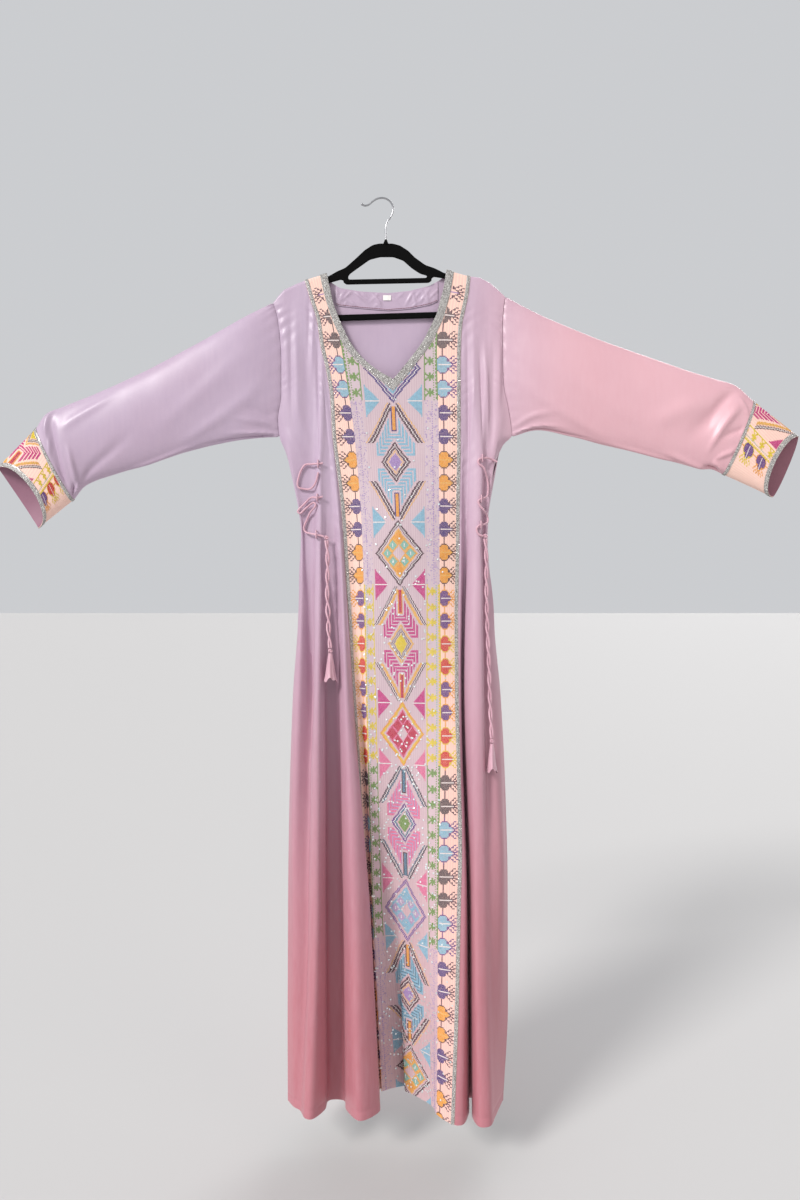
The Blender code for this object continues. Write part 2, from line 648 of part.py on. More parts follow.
def ring_of(row, turn, front=(0, 0), rear=(0, 0)):
    """A ring of cloth between a top and a low point. It starts at the top and turns to the front."""
    top, low, middle = np.array(row[:2], float), np.array(row[2:4], float), row[4]
    ring = []
    for angle in turn:
        c, s = math.cos(angle), math.sin(angle)
        reach, skew = (row[5], front) if s >= 0 else (row[6], rear)
        x, z = (top + low) / 2 + (top - low) / 2 * c + np.array(skew) * abs(s)
        ring.append((x, middle - reach * s, z))
    return np.array(ring)


def sleeve_and_cuff(side, satin, embroidery, silver):
    first, turn = armhole(side)
    rows = LEFT_SLEEVE if side == "left" else RIGHT_SLEEVE
    rings = [first] + [ring_of(row, turn) for row in rows]
    wall(f"sleeve_{side}", [rings], SATIN, satin, closed=True)
    tx, tz, lx, lz, middle, fx, fz, bx, bz = CUFF_OPENINGS[side]
    seam = rings[-1]
    mouth = ring_of((tx, tz, lx, lz, middle, CUFF_REACH, CUFF_REACH), turn, (fx, fz), (bx, bz))
    length = np.linalg.norm(mouth - seam, axis=1)[:, None]
    start = between(seam, mouth, SEAM / length)
    braid = CUFF_BRAID_WIDTH / length
    cuff = np.array([between(start, mouth, share) for share in (0 * braid, braid, 1 - braid, 1 + 0 * braid)])
    wall(f"cuff_{side}", [cuff], SATIN, embroidery, closed=True)
    outward = 1 if side == "left" else -1
    above = lifted(cuff, outward * (SATIN / 2 + GAP + TRIM / 2), closed=True)
    for name, near, far in (("seam", 0, 1), ("edge", 2, 3)):
        band = [between(above[near], above[far], share) for share in (0.06, 0.94)]
        wall(f"cuff_{name}_braid_{side}", [band], TRIM, silver, closed=True)


def hanger(velvet, chrome):
    """The flat flocked hanger, whose arms carry the shoulders, and its wire hook."""
    edge = [x for x, z in SHOULDERS if HANGER_LEFT_END[0] < x < HANGER_NECK[0][0]]
    left = [(x, shoulder_height(x) + SATIN / 2 - HANGER_UNDER_CLOTH) for x in edge]
    edge = [x for x, z in SHOULDERS if HANGER_NECK[-1][0] < x < HANGER_RIGHT_END[0]]
    right = [(x, shoulder_height(x) + SATIN / 2 - HANGER_UNDER_CLOTH) for x in edge]
    outline = [HANGER_LEFT_END] + left + list(HANGER_NECK) + right + [HANGER_RIGHT_END] + list(HANGER_FOOT)
    line = bpy.data.curves.new("hanger_body", "CURVE")
    line.dimensions = "2D"
    line.fill_mode = "BOTH"
    line.extrude = HANGER_THICKNESS / 2 * MM
    for ring in (outline, TIE_HOLE, BAR_HOLE):
        spline = line.splines.new("POLY")
        spline.use_cyclic_u = True
        spline.points.add(len(ring) - 1)
        for spot, (x, z) in zip(spline.points, ring):
            spot.co = (x * MM, z * MM, 0, 1)
    flat = new_object("hanger_body", line, velvet)
    flat.rotation_euler.x = math.pi / 2
    tube("hanger_hook", routed([(x, 0, z) for x, z in HOOK], 5), HOOK_RADIUS, chrome)


def resting(points, clear, spacing=CORD_SPACING):
    """A cord's route at x, z points, held `clear` of the cloth and stretched over its hollows."""
    flat = routed([(x, 0, z) for x, z in points], spacing / 4)
    ahead = np.array([min(front_spot(x + d, z)[1] for d in (-2, 0, 2)) for x, y, z in flat])
    near = 5
    padded = np.pad(ahead, near, mode="edge")
    ahead = np.array([padded[i:i + 2 * near + 1].min() for i in range(len(ahead))])
    padded = np.pad(ahead, near, mode="edge")
    flat[:, 1] = np.convolve(padded, np.full(2 * near + 1, 1 / (2 * near + 1)), "valid") - clear
    return routed(flat, spacing)


def lacing(side, cord):
    """The loops, the cord under them, and the tail of two twisted cords with its tassel."""
    touch = SATIN / 2 + GAP
    middle, apart = tail_route(side)
    drop = np.array([0, 0, KNOT_RADIUS + 2 * GAP])
    tie = middle[0] + drop
    laces = []
    for name, points in LACES.items():
        if not name.startswith(side):
            continue
        route = resting(points, touch + CORD_RADIUS + LACE_LIFT)
        if not name.endswith("upper"):
            away = route[-3] - tie
            end = tie + away * (KNOT_RADIUS + 2 * GAP) / np.linalg.norm(away)
            route = np.vstack([route[:-2], end])
        tube(f"lace_{name}", route, CORD_RADIUS, cord)
        laces += list(route)
    for number, level in enumerate(LOOP_HEIGHTS[side]):
        x, y, z = layer("front", level, np.array([float(LINES.index(LOOP_FOLDS[side]))]))[0]
        foot = y - touch - LOOP_RADIUS
        under = min(p[1] for p in laces if math.hypot(p[0] - x, p[2] - z) < LOOP_HALF_HEIGHT + 1)
        crown = under - CORD_RADIUS - 2 * GAP - LOOP_RADIUS
        shape = [
            (x, between(foot, crown, out), z + up * LOOP_HALF_HEIGHT)
            for up, out in ((1, 0), (0.95, 0.85), (0.4, 1), (-0.4, 1), (-0.95, 0.85), (-1, 0))
        ]
        tube(f"lace_loop_{side}_{number + 1}", routed(shape, 2.7), LOOP_RADIUS, cord)
    run = run_along(middle)
    for letter, start in (("a", 0), ("b", math.pi)):
        turn = start + 2 * math.pi * run / TWIST
        strand = middle + np.column_stack([apart * np.cos(turn), apart * np.sin(turn), 0 * turn])
        tube(f"lace_tail_{side}_{letter}", strand, CORD_RADIUS, cord)
    knot(f"lace_knot_{side}", tie, cord)
    knot(f"tassel_knot_{side}", middle[-1] - drop, cord)
    neck = TASSEL_PROFILE[0][1] * TASSEL_MOUTH[side] - TRIM / 2
    seat = math.sqrt((KNOT_RADIUS + GAP) ** 2 - neck ** 2)
    tassel(side, middle[-1] - drop - np.array([0, 0, seat]), cord)


def tail_route(side):
    """The middle line of a tail and how far from it its two cords lie."""
    table = TAILS[side]
    middle = routed([row[:3] for row in table], TAIL_SPACING)
    return middle, np.interp(middle[:, 2], rows_of(table, 2)[::-1], rows_of(table, 3)[::-1])


def knot(name, at, cord):
    bpy.ops.mesh.primitive_uv_sphere_add(segments=10, ring_count=7, radius=KNOT_RADIUS * MM, location=at * MM)
    ball = bpy.context.object
    ball.name = name
    ball.data.name = name
    ball.data.materials.append(cord)
    for collection in ball.users_collection:
        collection.objects.unlink(ball)
    PARTS.objects.link(ball)


def tassel(side, top, cord):
    """A hollow tulip of folded satin, gathered at its neck."""
    mouth = TASSEL_MOUTH[side]
    points = [(share * mouth * MM, 0, -down * TASSEL_LENGTH * MM) for down, share in TASSEL_PROFILE]
    mesh = bpy.data.meshes.new(f"tassel_{side}")
    mesh.from_pydata(points, [(i, i + 1) for i in range(len(points) - 1)], [])
    bell = new_object(f"tassel_{side}", mesh, cord)
    bell.location = top * MM
    turned = bell.modifiers.new("turned", "SCREW")
    turned.steps = TASSEL_SIDES
    turned.render_steps = TASSEL_SIDES
    turned.use_merge_vertices = True
    turned.merge_threshold = 1e-6
    thick = bell.modifiers.new("cloth", "SOLIDIFY")
    thick.thickness = TRIM * MM
    thick.offset = 0


def main():
    for thing in list(bpy.data.objects):
        bpy.data.objects.remove(thing)
    bpy.context.scene.collection.children.link(PARTS)
    satin = surface("dusty_rose_satin", (0.62, 0.36, 0.42), 0.35)
    embroidery = surface("embroidered_cotton", (0.75, 0.5, 0.45), 0.75)
    silver = surface("silver_glitter_braid", (0.45, 0.45, 0.44), 0.4, 0.6)
    plain = surface("white_label_tape", (0.85, 0.84, 0.82), 0.7)
    cord = surface("satin_cord", (0.66, 0.4, 0.45), 0.35)
    velvet = surface("black_flock", (0.012, 0.012, 0.014), 0.9)
    chrome = surface("chrome_wire", (0.75, 0.75, 0.77), 0.15, 1.0)
    halves = body(satin, embroidery)
    cloth = back_grid()
    wall("back", [cloth], SATIN, satin)
    back_neck(cloth, satin, plain)
    trims(halves, silver)
    for side in ("left", "right"):
        sleeve_and_cuff(side, satin, embroidery, silver)
        lacing(side, cord)
    hanger(velvet, chrome)


PARTS = bpy.data.collections.new("jalabiya")
main()
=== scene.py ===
"""The looks of a satin jalabiya with an embroidered centre panel, hanging on a slim flocked hanger.

Sizes and tables are in millimetres in the part's own frame and become metres when a mesh is made.
+X is the viewer's right, -Y faces the viewer and +Z is up. The origin is the inner crown of the
hanger's hook.
"""

import math

import bpy
import numpy as np
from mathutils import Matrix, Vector


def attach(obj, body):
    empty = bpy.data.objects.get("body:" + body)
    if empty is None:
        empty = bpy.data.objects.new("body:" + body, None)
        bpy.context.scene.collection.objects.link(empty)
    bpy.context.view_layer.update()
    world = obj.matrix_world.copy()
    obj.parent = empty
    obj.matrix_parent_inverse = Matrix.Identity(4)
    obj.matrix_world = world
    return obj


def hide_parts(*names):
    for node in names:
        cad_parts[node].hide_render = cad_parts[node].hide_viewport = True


MM = 0.001

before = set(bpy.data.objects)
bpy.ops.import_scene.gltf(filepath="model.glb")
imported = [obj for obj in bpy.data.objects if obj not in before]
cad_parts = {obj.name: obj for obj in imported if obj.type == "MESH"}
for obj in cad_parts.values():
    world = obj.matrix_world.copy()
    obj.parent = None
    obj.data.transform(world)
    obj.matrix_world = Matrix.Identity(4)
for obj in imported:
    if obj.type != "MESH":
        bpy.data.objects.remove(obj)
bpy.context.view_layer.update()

# Camera: a portrait frame 2100 mm tall at the garment, seen straight on
CAMERA_X, CAMERA_Z = 29.75, -701.75
CAMERA_DISTANCE = 1500.0
HALF_VIEW = 1050.0

# Cloth thickness as shown, and the part's own thickness and clearances. STRIPE_PITCH is in metres.
SATIN = 1.5
TRIM = 1.0
GAP = 0.3
SHARP_TURN = math.radians(55)
SHOWN_SATIN = 0.9
SHOWN_TRIM = 0.7
SEAM = 0.12
STRIPE_PITCH = 0.0039

# Heights of the garment. Above the yoke the level lines follow the slope of the shoulders.
TOP = -132.0
YOKE = -270.0
NECK_TIP = -318.0
UNDERARM = -414.0
WAIST = -600.0
THIGH = -860.0
KNEE = -1200.0
HEM = -1558.0
WRAPPED = -152.0
RIDGE_RADIUS = 5.0
RIDGE_HALF_GAP = 0.45
BACK_DEPTH = 5.6
FRONT_AT_YOKE = -9.0
BACK_AT_YOKE = 6.0
FOLD_LEVELS = (YOKE, UNDERARM, WAIST, THIGH, KNEE, HEM)

# Shoulder line on top of the hanger: x and height of the outer side of the cloth
SHOULDERS = (
    (-192, -182), (-184, -172), (-172, -159), (-152, -149), (-135, -142), (-107, -133), (-97, -130),
    (111, -124), (116, -126), (149, -135), (170, -138), (187, -147), (201, -159), (214, -172),
)

# Edges of the front pieces: level, x, y
LEFT_SIDE = (
    (TOP, -192, -5), (-176, -185, -5), (-223, -180, -5.5), (-283, -177, -6), (-344, -177, -6),
    (-388, -183, -4), (UNDERARM, -181, -1.7), (-443, -170, -1.2), (-469, -162, -2), (-499, -154, -3),
    (-536, -148, -3), (-588, -143, -3), (-649, -145, -4), (-754, -148, -6), (-876, -155, -10),
    (-1048, -161, -15), (-1220, -163, -20), (-1390, -163, -26), (HEM, -162, -32),
)
RIGHT_SIDE = (
    (TOP, 213, -5), (-166, 210, -5), (-215, 208, -5.5), (-283, 208, -6), (-327, 210, -6),
    (-361, 217, -5), (-395, 223, -3), (UNDERARM, 225, -1.7), (-429, 211, -1.3), (-454, 199, -2),
    (-483, 190, -3), (-527, 184, -3), (-606, 183, -3), (-684, 189, -4), (-771, 195, -6),
    (-876, 204, -10), (-1040, 212, -15), (-1185, 215, -20), (-1390, 215, -26), (HEM, 206, -32),
)
PANEL_LEFT = (
    (TOP, -137, -5), (-179, -125, -6), (-214, -115, -7), (-258, -109, -9), (-302, -99, -10),
    (-346, -92, -11), (UNDERARM, -88, -13), (-494, -78, -16), (-546, -72, -19), (-633, -66, -24),
    (-736, -59, -30), (THIGH, -51, -38), (-992, -42, -37), (-1208, -34, -30), (-1391, -27, -24),
    (HEM, -19, -20),
)
PANEL_RIGHT = (
    (TOP, 153, -5), (-161, 150, -6), (-197, 143, -7), (-223, 138, -8), (-258, 136, -8),
    (-320, 135, -11), (-430, 135, -14), (-529, 133, -20), (-607, 132, -25), (-736, 129, -36),
    (-859, 129, -48), (-971, 131, -60), (-1118, 133, -74), (-1199, 131, -80), (-1360, 127, -90),
    (HEM, 119, -102),
)

# Fold lines from left to right: x at the yoke, then x, y at the underarm, waist, thigh, knee and hem
LEFT_FOLDS = {
    "rear crest": (-169, -167, -10, -140, -12, -144, -24, -149, -42, -149, -52),
    "rear valley": (-149, -147, -12, -136, -8, -124, -14, -125, -46, -138, -62),
    "pleat valley": (-125, -121, -10, -120, -13, -119, -36, -121, -60, -132, -75),
    "pleat edge": (-116, -111, -17, -114, -26, -117, -50, -119, -68, -128, -83),
    "second crest": (-114, -108, -17, -107, -30, -108, -58, -108, -77, -117, -87),
    "second far side": (-113, -104, -15, -102, -26, -99, -44, -97, -55, -97, -60),
    "recess left": (-112, -100, -14, -96, -20, -98, -22, -95, -26, -92, -33),
    "recess right": (-111.4, -96, -13, -84, -20, -77, -22, -70, -26, -66, -33),
    "third near side": (-110.7, -93, -14, -77, -26, -72, -42, -65, -54, -60, -60),
    "third crest": (-110, -91, -14, -73, -28, -61, -54, -47, -78, -36, -91),
    "third far side": (-109.5, -89.5, -14, -70.5, -26, -53.5, -47, -23, -62, -4, -62),
    "tuck": (-109.2, -88.7, -13.5, -69.7, -24.5, -51, -42, -28, -43, -11, -37),
}
PANEL_FOLDS = {
    "border dip": (-90, -69, -13, -52, -20, -39, -28, -19, -12, 5, 9),
    "left band outside": (-73, -51, -13, -36, -26, -29, -36, -19, -26, -2, -6),
    "left band inside": (-45, -31, -13, -19, -30, -12, -38, -3, -20, 17, 4),
    "crease back": (-15, -5, -14, 4, -34, 11, -42, 17, -20, 48, 13),
    "crease front": (-3, 5.5, -14, 14, -36, 22, -44, 28, -26, 39, -3),
    "panel centre": (15, 20.5, -14, 28, -38, 34, -46, 41, -36, 51, -14),
    "right band inside": (72, 73, -15, 76, -36, 75, -50, 78, -68, 85, -50),
    "right band outside": (96, 99, -15, 99, -32, 101, -52, 95, -76, 92, -74),
}
RIGHT_FOLDS = {
    "satin crest": (140, 138, -13, 135, -25, 131, -48, 137, -80, 131, -102),
    "gap near side": (144, 141, -12, 137, -20, 134, -38, 142, -60, 145, -68),
    "gap floor left": (148, 144.5, -11, 141, -15, 136, -16, 145, -20, 148, -26),
    "gap floor right": (153, 149, -11, 145, -15, 141, -16, 150, -20, 154, -26),
    "first far side": (158, 153, -14, 148, -20, 140, -40, 147.5, -60, 150, -82),
    "first crest": (169, 164, -18, 160, -30, 154, -58, 155, -85, 160, -107),
    "ridge": (179, 173, -18, 168, -30, 167, -56, 167, -83, 176, -105),
    "side recess": (187, 181, -11, 174, -13, 174, -32, 180, -72, 187, -80),
    "side crest": (197, 196, -12, 179, -16, 185, -36, 198, -60, 197, -55),
}
BACK_FOLDS = {
    "left turn": (-168, -165, 6, -139, 5, -150, 3, -158, 3, -158, 0),
    "left fold": (-134, -130, 8, -118, 11, -126, 20, -132, 30, -132, 33),
    "left hollow": (-90, -86, 7, -80, 9, -84, 14, -86, 20, -88, 21),
    "inner left": (-40, -36, 8, -38, 12, -40, 23, -42, 35, -42, 39),
    "middle": (15, 16, 7, 18, 10, 20, 18, 22, 26, 20, 29),
    "inner right": (70, 72, 8, 76, 12, 82, 23, 86, 35, 84, 41),
    "right hollow": (116, 118, 7, 120, 9, 130, 14, 138, 20, 134, 21),
    "right fold": (160, 164, 8, 158, 11, 172, 20, 184, 30, 176, 33),
    "right turn": (198, 204, 6, 180, 5, 198, 3, 210, 3, 202, 0),
}

# V neck: x and level of its inner edge, then of the glitter band's outer edge
NECK_LEFT = (
    (-98, TOP, -110, TOP), (-92, -161, -104, -161), (-87, -184, -97, -188), (-77, -211, -89, -212),
    (-68, -232, -78, -237), (-54, -258, -66, -262), (-31, -285, -43, -288), (-5, -305, -17, -310),
    (18, NECK_TIP, 18, -338),
)
NECK_RIGHT = (
    (111, TOP, 124, TOP), (105, -166, 118, -166), (99, -187, 112, -191), (94, -205, 105, -214),
    (82, -229, 92, -240), (71, -250, 79, -262), (52, -276, 57, -291), (33, -300, 38, -315),
    (18, NECK_TIP, 18, -338),
)
# Back neck: x, height of the cloth's edge, height of the facing's lower edge
BACK_NECK = (
    (-97, -137, -176), (-90, -145, -181), (-76, -154, -186), (-40, -160, -190), (9, -163, -194),
    (47, -159, -191), (82, -150, -184), (100, -140, -176), (110, -131, -170),
)
NECK_TURN = 1.5

# Sleeves, ring by ring: top x, z, low x, z, the middle's y, reach to the front and to the back
LEFT_SLEEVE = (
    (-232, -203, -223, -419, -3, 15, 11), (-293, -238, -281, -428, -5, 19, 14),
    (-362, -277, -343, -444, -7, 21, 16), (-431, -313, -405, -465, -9, 22, 17),
    (-491, -341, -456, -480, -11, 22, 18), (-551, -366, -499, -495, -13, 22, 18),
    (-582, -380, -518, -506, -15, 22, 18), (-599, -404, -535, -527, -15, 21, 17),
)
RIGHT_SLEEVE = (
    (257, -196, 269, -405, -3, 15, 11), (317, -224, 326, -416, -5, 19, 14),
    (387, -253, 387, -432, -7, 21, 16), (456, -278, 447, -446, -9, 22, 17),
    (516, -300, 502, -460, -11, 22, 18), (571, -318, 550, -474, -13, 22, 18),
    (610, -331, 570, -475, -15, 22, 18), (640, -357, 588, -483, -15, 21, 17),
)
# The sleeve as laid flat for its creases. At its armhole: depth and half width of the groove, then
# number, height and reach of the gathers
SLEEVE_RUN = 430.0
RING_MM_PER_DEGREE = 1.2
ARMHOLE_GROOVE = (1.5, 3.2)
ARMHOLE_GATHERS = (28, 0.8, 16)
# Cuff openings: top x, z, low x, z, the middle's y, then how far the front and back edges lie off
CUFF_REACH = 20.0
CUFF_OPENINGS = {
    "left": (-667, -473, -597, -577, -15, 33, 11, -5, -1),
    "right": (719, -419, 676, -523, -15, -30, -3, 15, 5),
}
BRAID_WIDTH = 6.0
BRAID_INSET = 0.5
CUFF_BRAID_WIDTHS = {"seam": 5.5, "edge": 8.5}
UNDER_BAND = 1.2
BRAID_LIFT = SHOWN_SATIN / 2 + SHOWN_TRIM / 2 + 0.1
BRAID_ROW_STEP, BRAID_COLUMNS = 2.4, 7
NECK_BAND_ROWS = 56
BRAID_DOME = 0.35
BRAID_ROUGHNESS = 0.16
FLAKE_COUNTS = {"panel": 2200, "neck": 2600, "cuff": 420}
FLAKE_RISES = {"panel": 0.75, "neck": 0.75, "cuff": 0.7}
FLAKE_SIZES = (0.28, 0.55)
FLAKE_TILT = 0.45
# The part of the panel's chart on each cuff: first row, shift round the cuff and shades that change
CUFF_CHARTS = {"left": (313, 17.0, {}), "right": (320, -3.0, {"r": "p", "c": "o"})}
CUFF_CHART_ROWS = 41
CUFF_CELL = 2.05
# The cotton of a cuff: its length, its cut's start in the panel's peach border and its mm a degree, then
# the length its waves are laid out on and the shares of it where the stitches start and end
CUFF_LENGTH = 96.0
CUFF_WEAVE_START, CUFF_WEAVE_PER_DEGREE = 78.0, 0.8
CUFF_WAVE_RUN = 63.92
CUFF_STITCHED = (0.1225, 0.8986)
LABEL_SIZE = (14.0, 9.0)
LABEL_AT = (7.0, -172.0)
LABEL_THICKNESS = 0.5
LABEL_BOW = 0.25
# The facing's middle in front of the back's, its drop below the back's edge, its inset at both ends, and
# its edge stitches: pitch, length and radius
FACING_CLEAR = SATIN / 2 + GAP + TRIM / 2
FACING_DROP = 0.4
FACING_INSET = 14
FACING_STITCHES = (3.0, 2.3, 0.55)

# Hanger: the part of its top edge that shows, its ends, its foot and the two holes through it
HANGER_THICKNESS = 5.0
HANGER_ROUNDING = 1.3
CORNER_BOW = 3.0
HANGER_UNDER_CLOTH = 4.2
HANGER_NECK = (
    (-112, -138.6), (-104, -138), (-96, -136), (-88, -131.6), (-80, -127), (-66, -121), (-49, -106),
    (-32, -90), (-18, -81), (-7, -78.5), (17, -78.5), (30, -82), (44, -91), (56, -103), (74, -116),
    (90, -121.5), (99, -125.8), (106, -129.6), (112, -131.4), (120, -132.2),
)
HANGER_LEFT_END = (-181, -176)
HANGER_RIGHT_END = (203, -168)
HANGER_FOOT = ((203, -176), (196, -194), (180, -205), (-157, -216), (-174, -206), (-182, -182))
TIE_HOLE = (
    (-58, -131), (-40, -118), (-23, -106), (-5, -101.5), (18, -101.5), (35, -107.5), (51, -121.5),
    (65, -130.5), (77, -134), (76, -138.5), (-60, -141.5), (-61, -136),
)
BAR_HOLE = (
    (-168, -173), (-150, -164), (-98, -148), (-74, -141), (-69.5, -142.5), (-69, -146),
    (-64, -149.5), (80, -146.5), (85, -143), (85, -139), (89, -136), (114, -140), (150, -152),
    (190, -168), (192, -176), (186, -190), (176, -195.5), (-154, -205.5), (-165, -198), (-171, -182),
)
HOOK_RADIUS = 1.6
HOOK_BALL = 2.3
HOOK_SPACING, HOOK_SIDES, COLLAR_SIDES = 0.6, 20, 24
# The flocked collar at the foot of the hook: radius, height
HANGER_COLLAR = (
    (2.4, -80.5), (4.6, -79.6), (4.6, -78.4), (3.9, -76.4), (2.9, -74.2), (2.3, -72), (1.9, -71.3),
)
HOOK = (
    (5, -78.2), (5, -64), (5, -50), (7.5, -40), (14, -31), (17.5, -22), (17, -12), (11, -3),
    (1, 1.6), (-10, 0.5), (-19, -5), (-26, -10.5), (-33, -11.5), (-38, -8),
)

# Side lacing of satin cord under small loops, and its tails
CORD_RADIUS = 1.7
LACE_LIFT = 0.8
CORD_SPACING = 5.0
TAIL_SPACING = 10.5
LOOP_RADIUS = 1.1
LOOP_HALF_HEIGHT = 6.0
LOOP_SUNK = 0.8
LOOP_SPACING, LOOP_SIDES, KNOT_SIDES = 1.2, 10, 12
# A loop from its upper foot to its lower one: share of its half height, share of the way to its crown
LOOP_SHAPE = ((1, 0), (0.95, 0.85), (0.4, 1), (-0.4, 1), (-0.95, 0.85), (-1, 0))
LOOP_HEIGHTS = {"left": (-467, -526, -589), "right": (-458, -528, -573)}
LOOP_FOLDS = {"left": "pleat edge", "right": "ridge"}
LACES = {
    "left_upper": (
        (-103, -466), (-112, -467), (-124, -467), (-134, -467), (-140, -474), (-145, -486),
        (-148, -500), (-146, -507), (-138, -509), (-129, -510), (-121, -507), (-115, -498),
        (-111, -482),
    ),
    "left_lower": (
        (-103, -524), (-112, -526), (-123, -525), (-130, -529), (-137, -536), (-143, -542),
        (-146.5, -546), (-147.6, -548.5), (-146.5, -551), (-144, -552), (-141.5, -550.6), (-137, -546),
        (-130, -540), (-124, -536), (-120.5, -534.2), (-117.5, -534.2), (-115.3, -536), (-115.3, -538.8),
        (-117, -542), (-121, -546), (-126, -551), (-132, -563), (-137, -576), (-135, -583),
        (-125, -587), (-113, -590), (-104, -592),
    ),
    "right": (
        (198, -463), (190, -459), (182, -457), (172, -458), (165, -460), (165, -467), (173, -473),
        (179, -486), (182, -501), (182, -514), (179, -524), (170, -528), (164, -532), (167, -540),
        (175, -549), (181, -558), (181, -567), (174, -572), (165, -574), (161, -580), (163, -588),
        (169, -592),
    ),
}
# Tails: x, y, z of the middle, and how far from it the two cords lie
TAILS = {
    "left": (
        (-96, -34, -600, 2.05), (-94, -36, -630, 2.3), (-94, -38, -665, 2.3), (-94, -41, -700, 2.4),
        (-92, -45, -727, 3.4), (-91, -49, -755, 2.5), (-88, -54, -783, 2.05),
    ),
    "right": (
        (176, -30, -597, 2.05), (178, -29, -630, 2.3), (178, -32, -690, 2.4), (179, -37, -754, 2.4),
        (181, -42, -812, 2.3), (182, -48, -870, 2.3), (184, -60, -934, 2.05),
    ),
}
TWIST = 60.0
KNOT_RADIUS = 4.2
KNOT_RIM = KNOT_RADIUS + 2 * GAP
KNOT_CORD_RADIUS = 1.25
KNOT_SWELL = 0.42
TASSEL_SIDES, TASSEL_ROWS = 72, 26
TASSEL_LENGTH = 49.0
TASSEL_MOUTH = {"left": 12.5, "right": 10.0}
TASSEL_PROFILE = ((0, 0.26), (0.12, 0.36), (0.35, 0.5), (0.6, 0.62), (0.82, 0.78), (1, 1))

# Creases of the satin: x, z to x, z, half width, height towards the viewer
LEFT_CREASES = (
    (-158, -330, -122, -462, 9, 1.2), (-140, -300, -116, -455, 8, 0.9), (-170, -400, -128, -470, 8, 1.6),
    (-120, -520, -76, -640, 6, 1.5), (-112, -560, -84, -700, 5, -1.2), (-100, -470, -84, -600, 5, 1.3),
    (-150, -610, -118, -780, 7, 1.2), (-132, -200, -128, -400, 12, 0.7), (-165, -200, -160, -350, 10, 0.6),
    (-100, -390, -90, -520, 5, 1), (-96, -540, -66, -660, 5, 1.2), (-108, -545, -72, -600, 4, -1),
    (-114, -230, -112, -500, 2.6, -2.6), (-106, -240, -104, -500, 4, 2.2), (-152, -170, -147, -440, 6, 2),
    (-162, -190, -158, -400, 4, -1.6), (-136, -190, -130, -450, 7, -1.8), (-126, -600, -119, -1000, 5, -6),
    (-120, -150, -124, -330, 3, 1.2), (-128, -150, -131, -300, 3, -1), (-92, -620, -80, -900, 5, -3),
    (-150, -700, -152, -1250, 7, 2.5), (-112, -760, -122, -1400, 6, 2.2), (-50, -900, -34, -1450, 9, 2.5),
    (-100, -590, -70, -790, 4, 2.2), (-108, -590, -88, -780, 3, -2),
)
RIGHT_CREASES = (
    (183, -240, 179, -445, 7, 1.3), (171, -270, 176, -450, 5, -1.1), (150, -270, 168, -455, 8, 1.1),
    (212, -350, 188, -470, 7, 1.5), (200, -240, 196, -380, 9, 0.7), (163, -190, 158, -330, 9, 0.7),
    (172, -600, 168, -760, 7, 1), (146, -470, 152, -640, 5, 1),
    (167, -240, 175, -470, 3, -2.4), (176, -220, 184, -470, 4, 2.4), (157, -190, 161, -450, 5, 1.8),
    (193, -230, 189, -450, 5, -1.8), (204, -200, 201, -410, 4, 1.6), (146, -200, 149, -500, 3, -1.6),
    (182, -600, 186, -960, 5, -4), (166, -640, 168, -1300, 8, 2.4), (196, -700, 206, -1400, 7, 2.2),
    (190, -590, 192, -780, 4, 2.2), (160, -300, 150, -470, 3, 1.4),
)
BACK_CREASES = (
    (-150, -340, -110, -520, 9, -1.5), (-110, -300, -90, -500, 10, -1.2), (190, -340, 150, -520, 9, -1.5),
    (150, -300, 130, -500, 10, -1.2), (-20, -240, -30, -430, 12, -1), (60, -240, 66, -440, 12, -1),
    (-60, -620, -70, -900, 12, -1.2), (110, -640, 118, -940, 12, -1.3), (20, -700, 30, -1000, 14, -1),
    (-120, -560, -130, -1500, 12, 3), (-84, -600, -92, -1500, 9, -2.6), (-40, -520, -46, -1540, 13, 2.6),
    (0, -640, -4, -1500, 9, -2.2), (44, -540, 50, -1540, 12, 3), (84, -620, 92, -1500, 9, -2.6),
    (130, -560, 142, -1540, 13, 3), (-170, -420, -60, -520, 7, 2), (-168, -440, -70, -560, 6, -1.6),
    (206, -420, 110, -520, 7, 2), (204, -440, 120, -560, 6, -1.6), (-90, -190, -60, -420, 10, 1.6),
    (116, -190, 90, -420, 10, 1.6), (16, -220, 16, -470, 14, 1.4),
)
# Creases of a sleeve: share of its length and turn in degrees, to the same, half width, height
LEFT_SLEEVE_CREASES = (
    (0.04, 95, 0.42, 150, 9, 2.4), (0.1, 60, 0.5, 120, 12, 1.8), (0.5, 100, 0.9, 165, 9, -3),
    (0.3, 160, 0.62, 175, 8, 3), (0.05, 250, 0.5, 220, 10, 2.5), (0.6, 230, 0.95, 250, 8, 3),
    (-0.06, 170, 0.26, 148, 4, 3), (-0.06, 160, 0.24, 124, 4, 2.6), (-0.05, 174, 0.36, 164, 5, -3.4),
    (-0.06, 152, 0.2, 112, 5, -2), (0.82, 25, 1.04, 160, 13, -6.5), (0.8, 85, 0.93, 165, 9, 4.5),
    (0.9, 140, 1.03, 176, 6, -4.5), (0.86, 150, 1, 166, 5, 4.5), (0.8, 10, 0.98, 70, 8, 4),
    (0.9, 60, 1.05, 100, 5, 2.8), (0.55, 40, 0.84, 70, 9, 2.2),
)
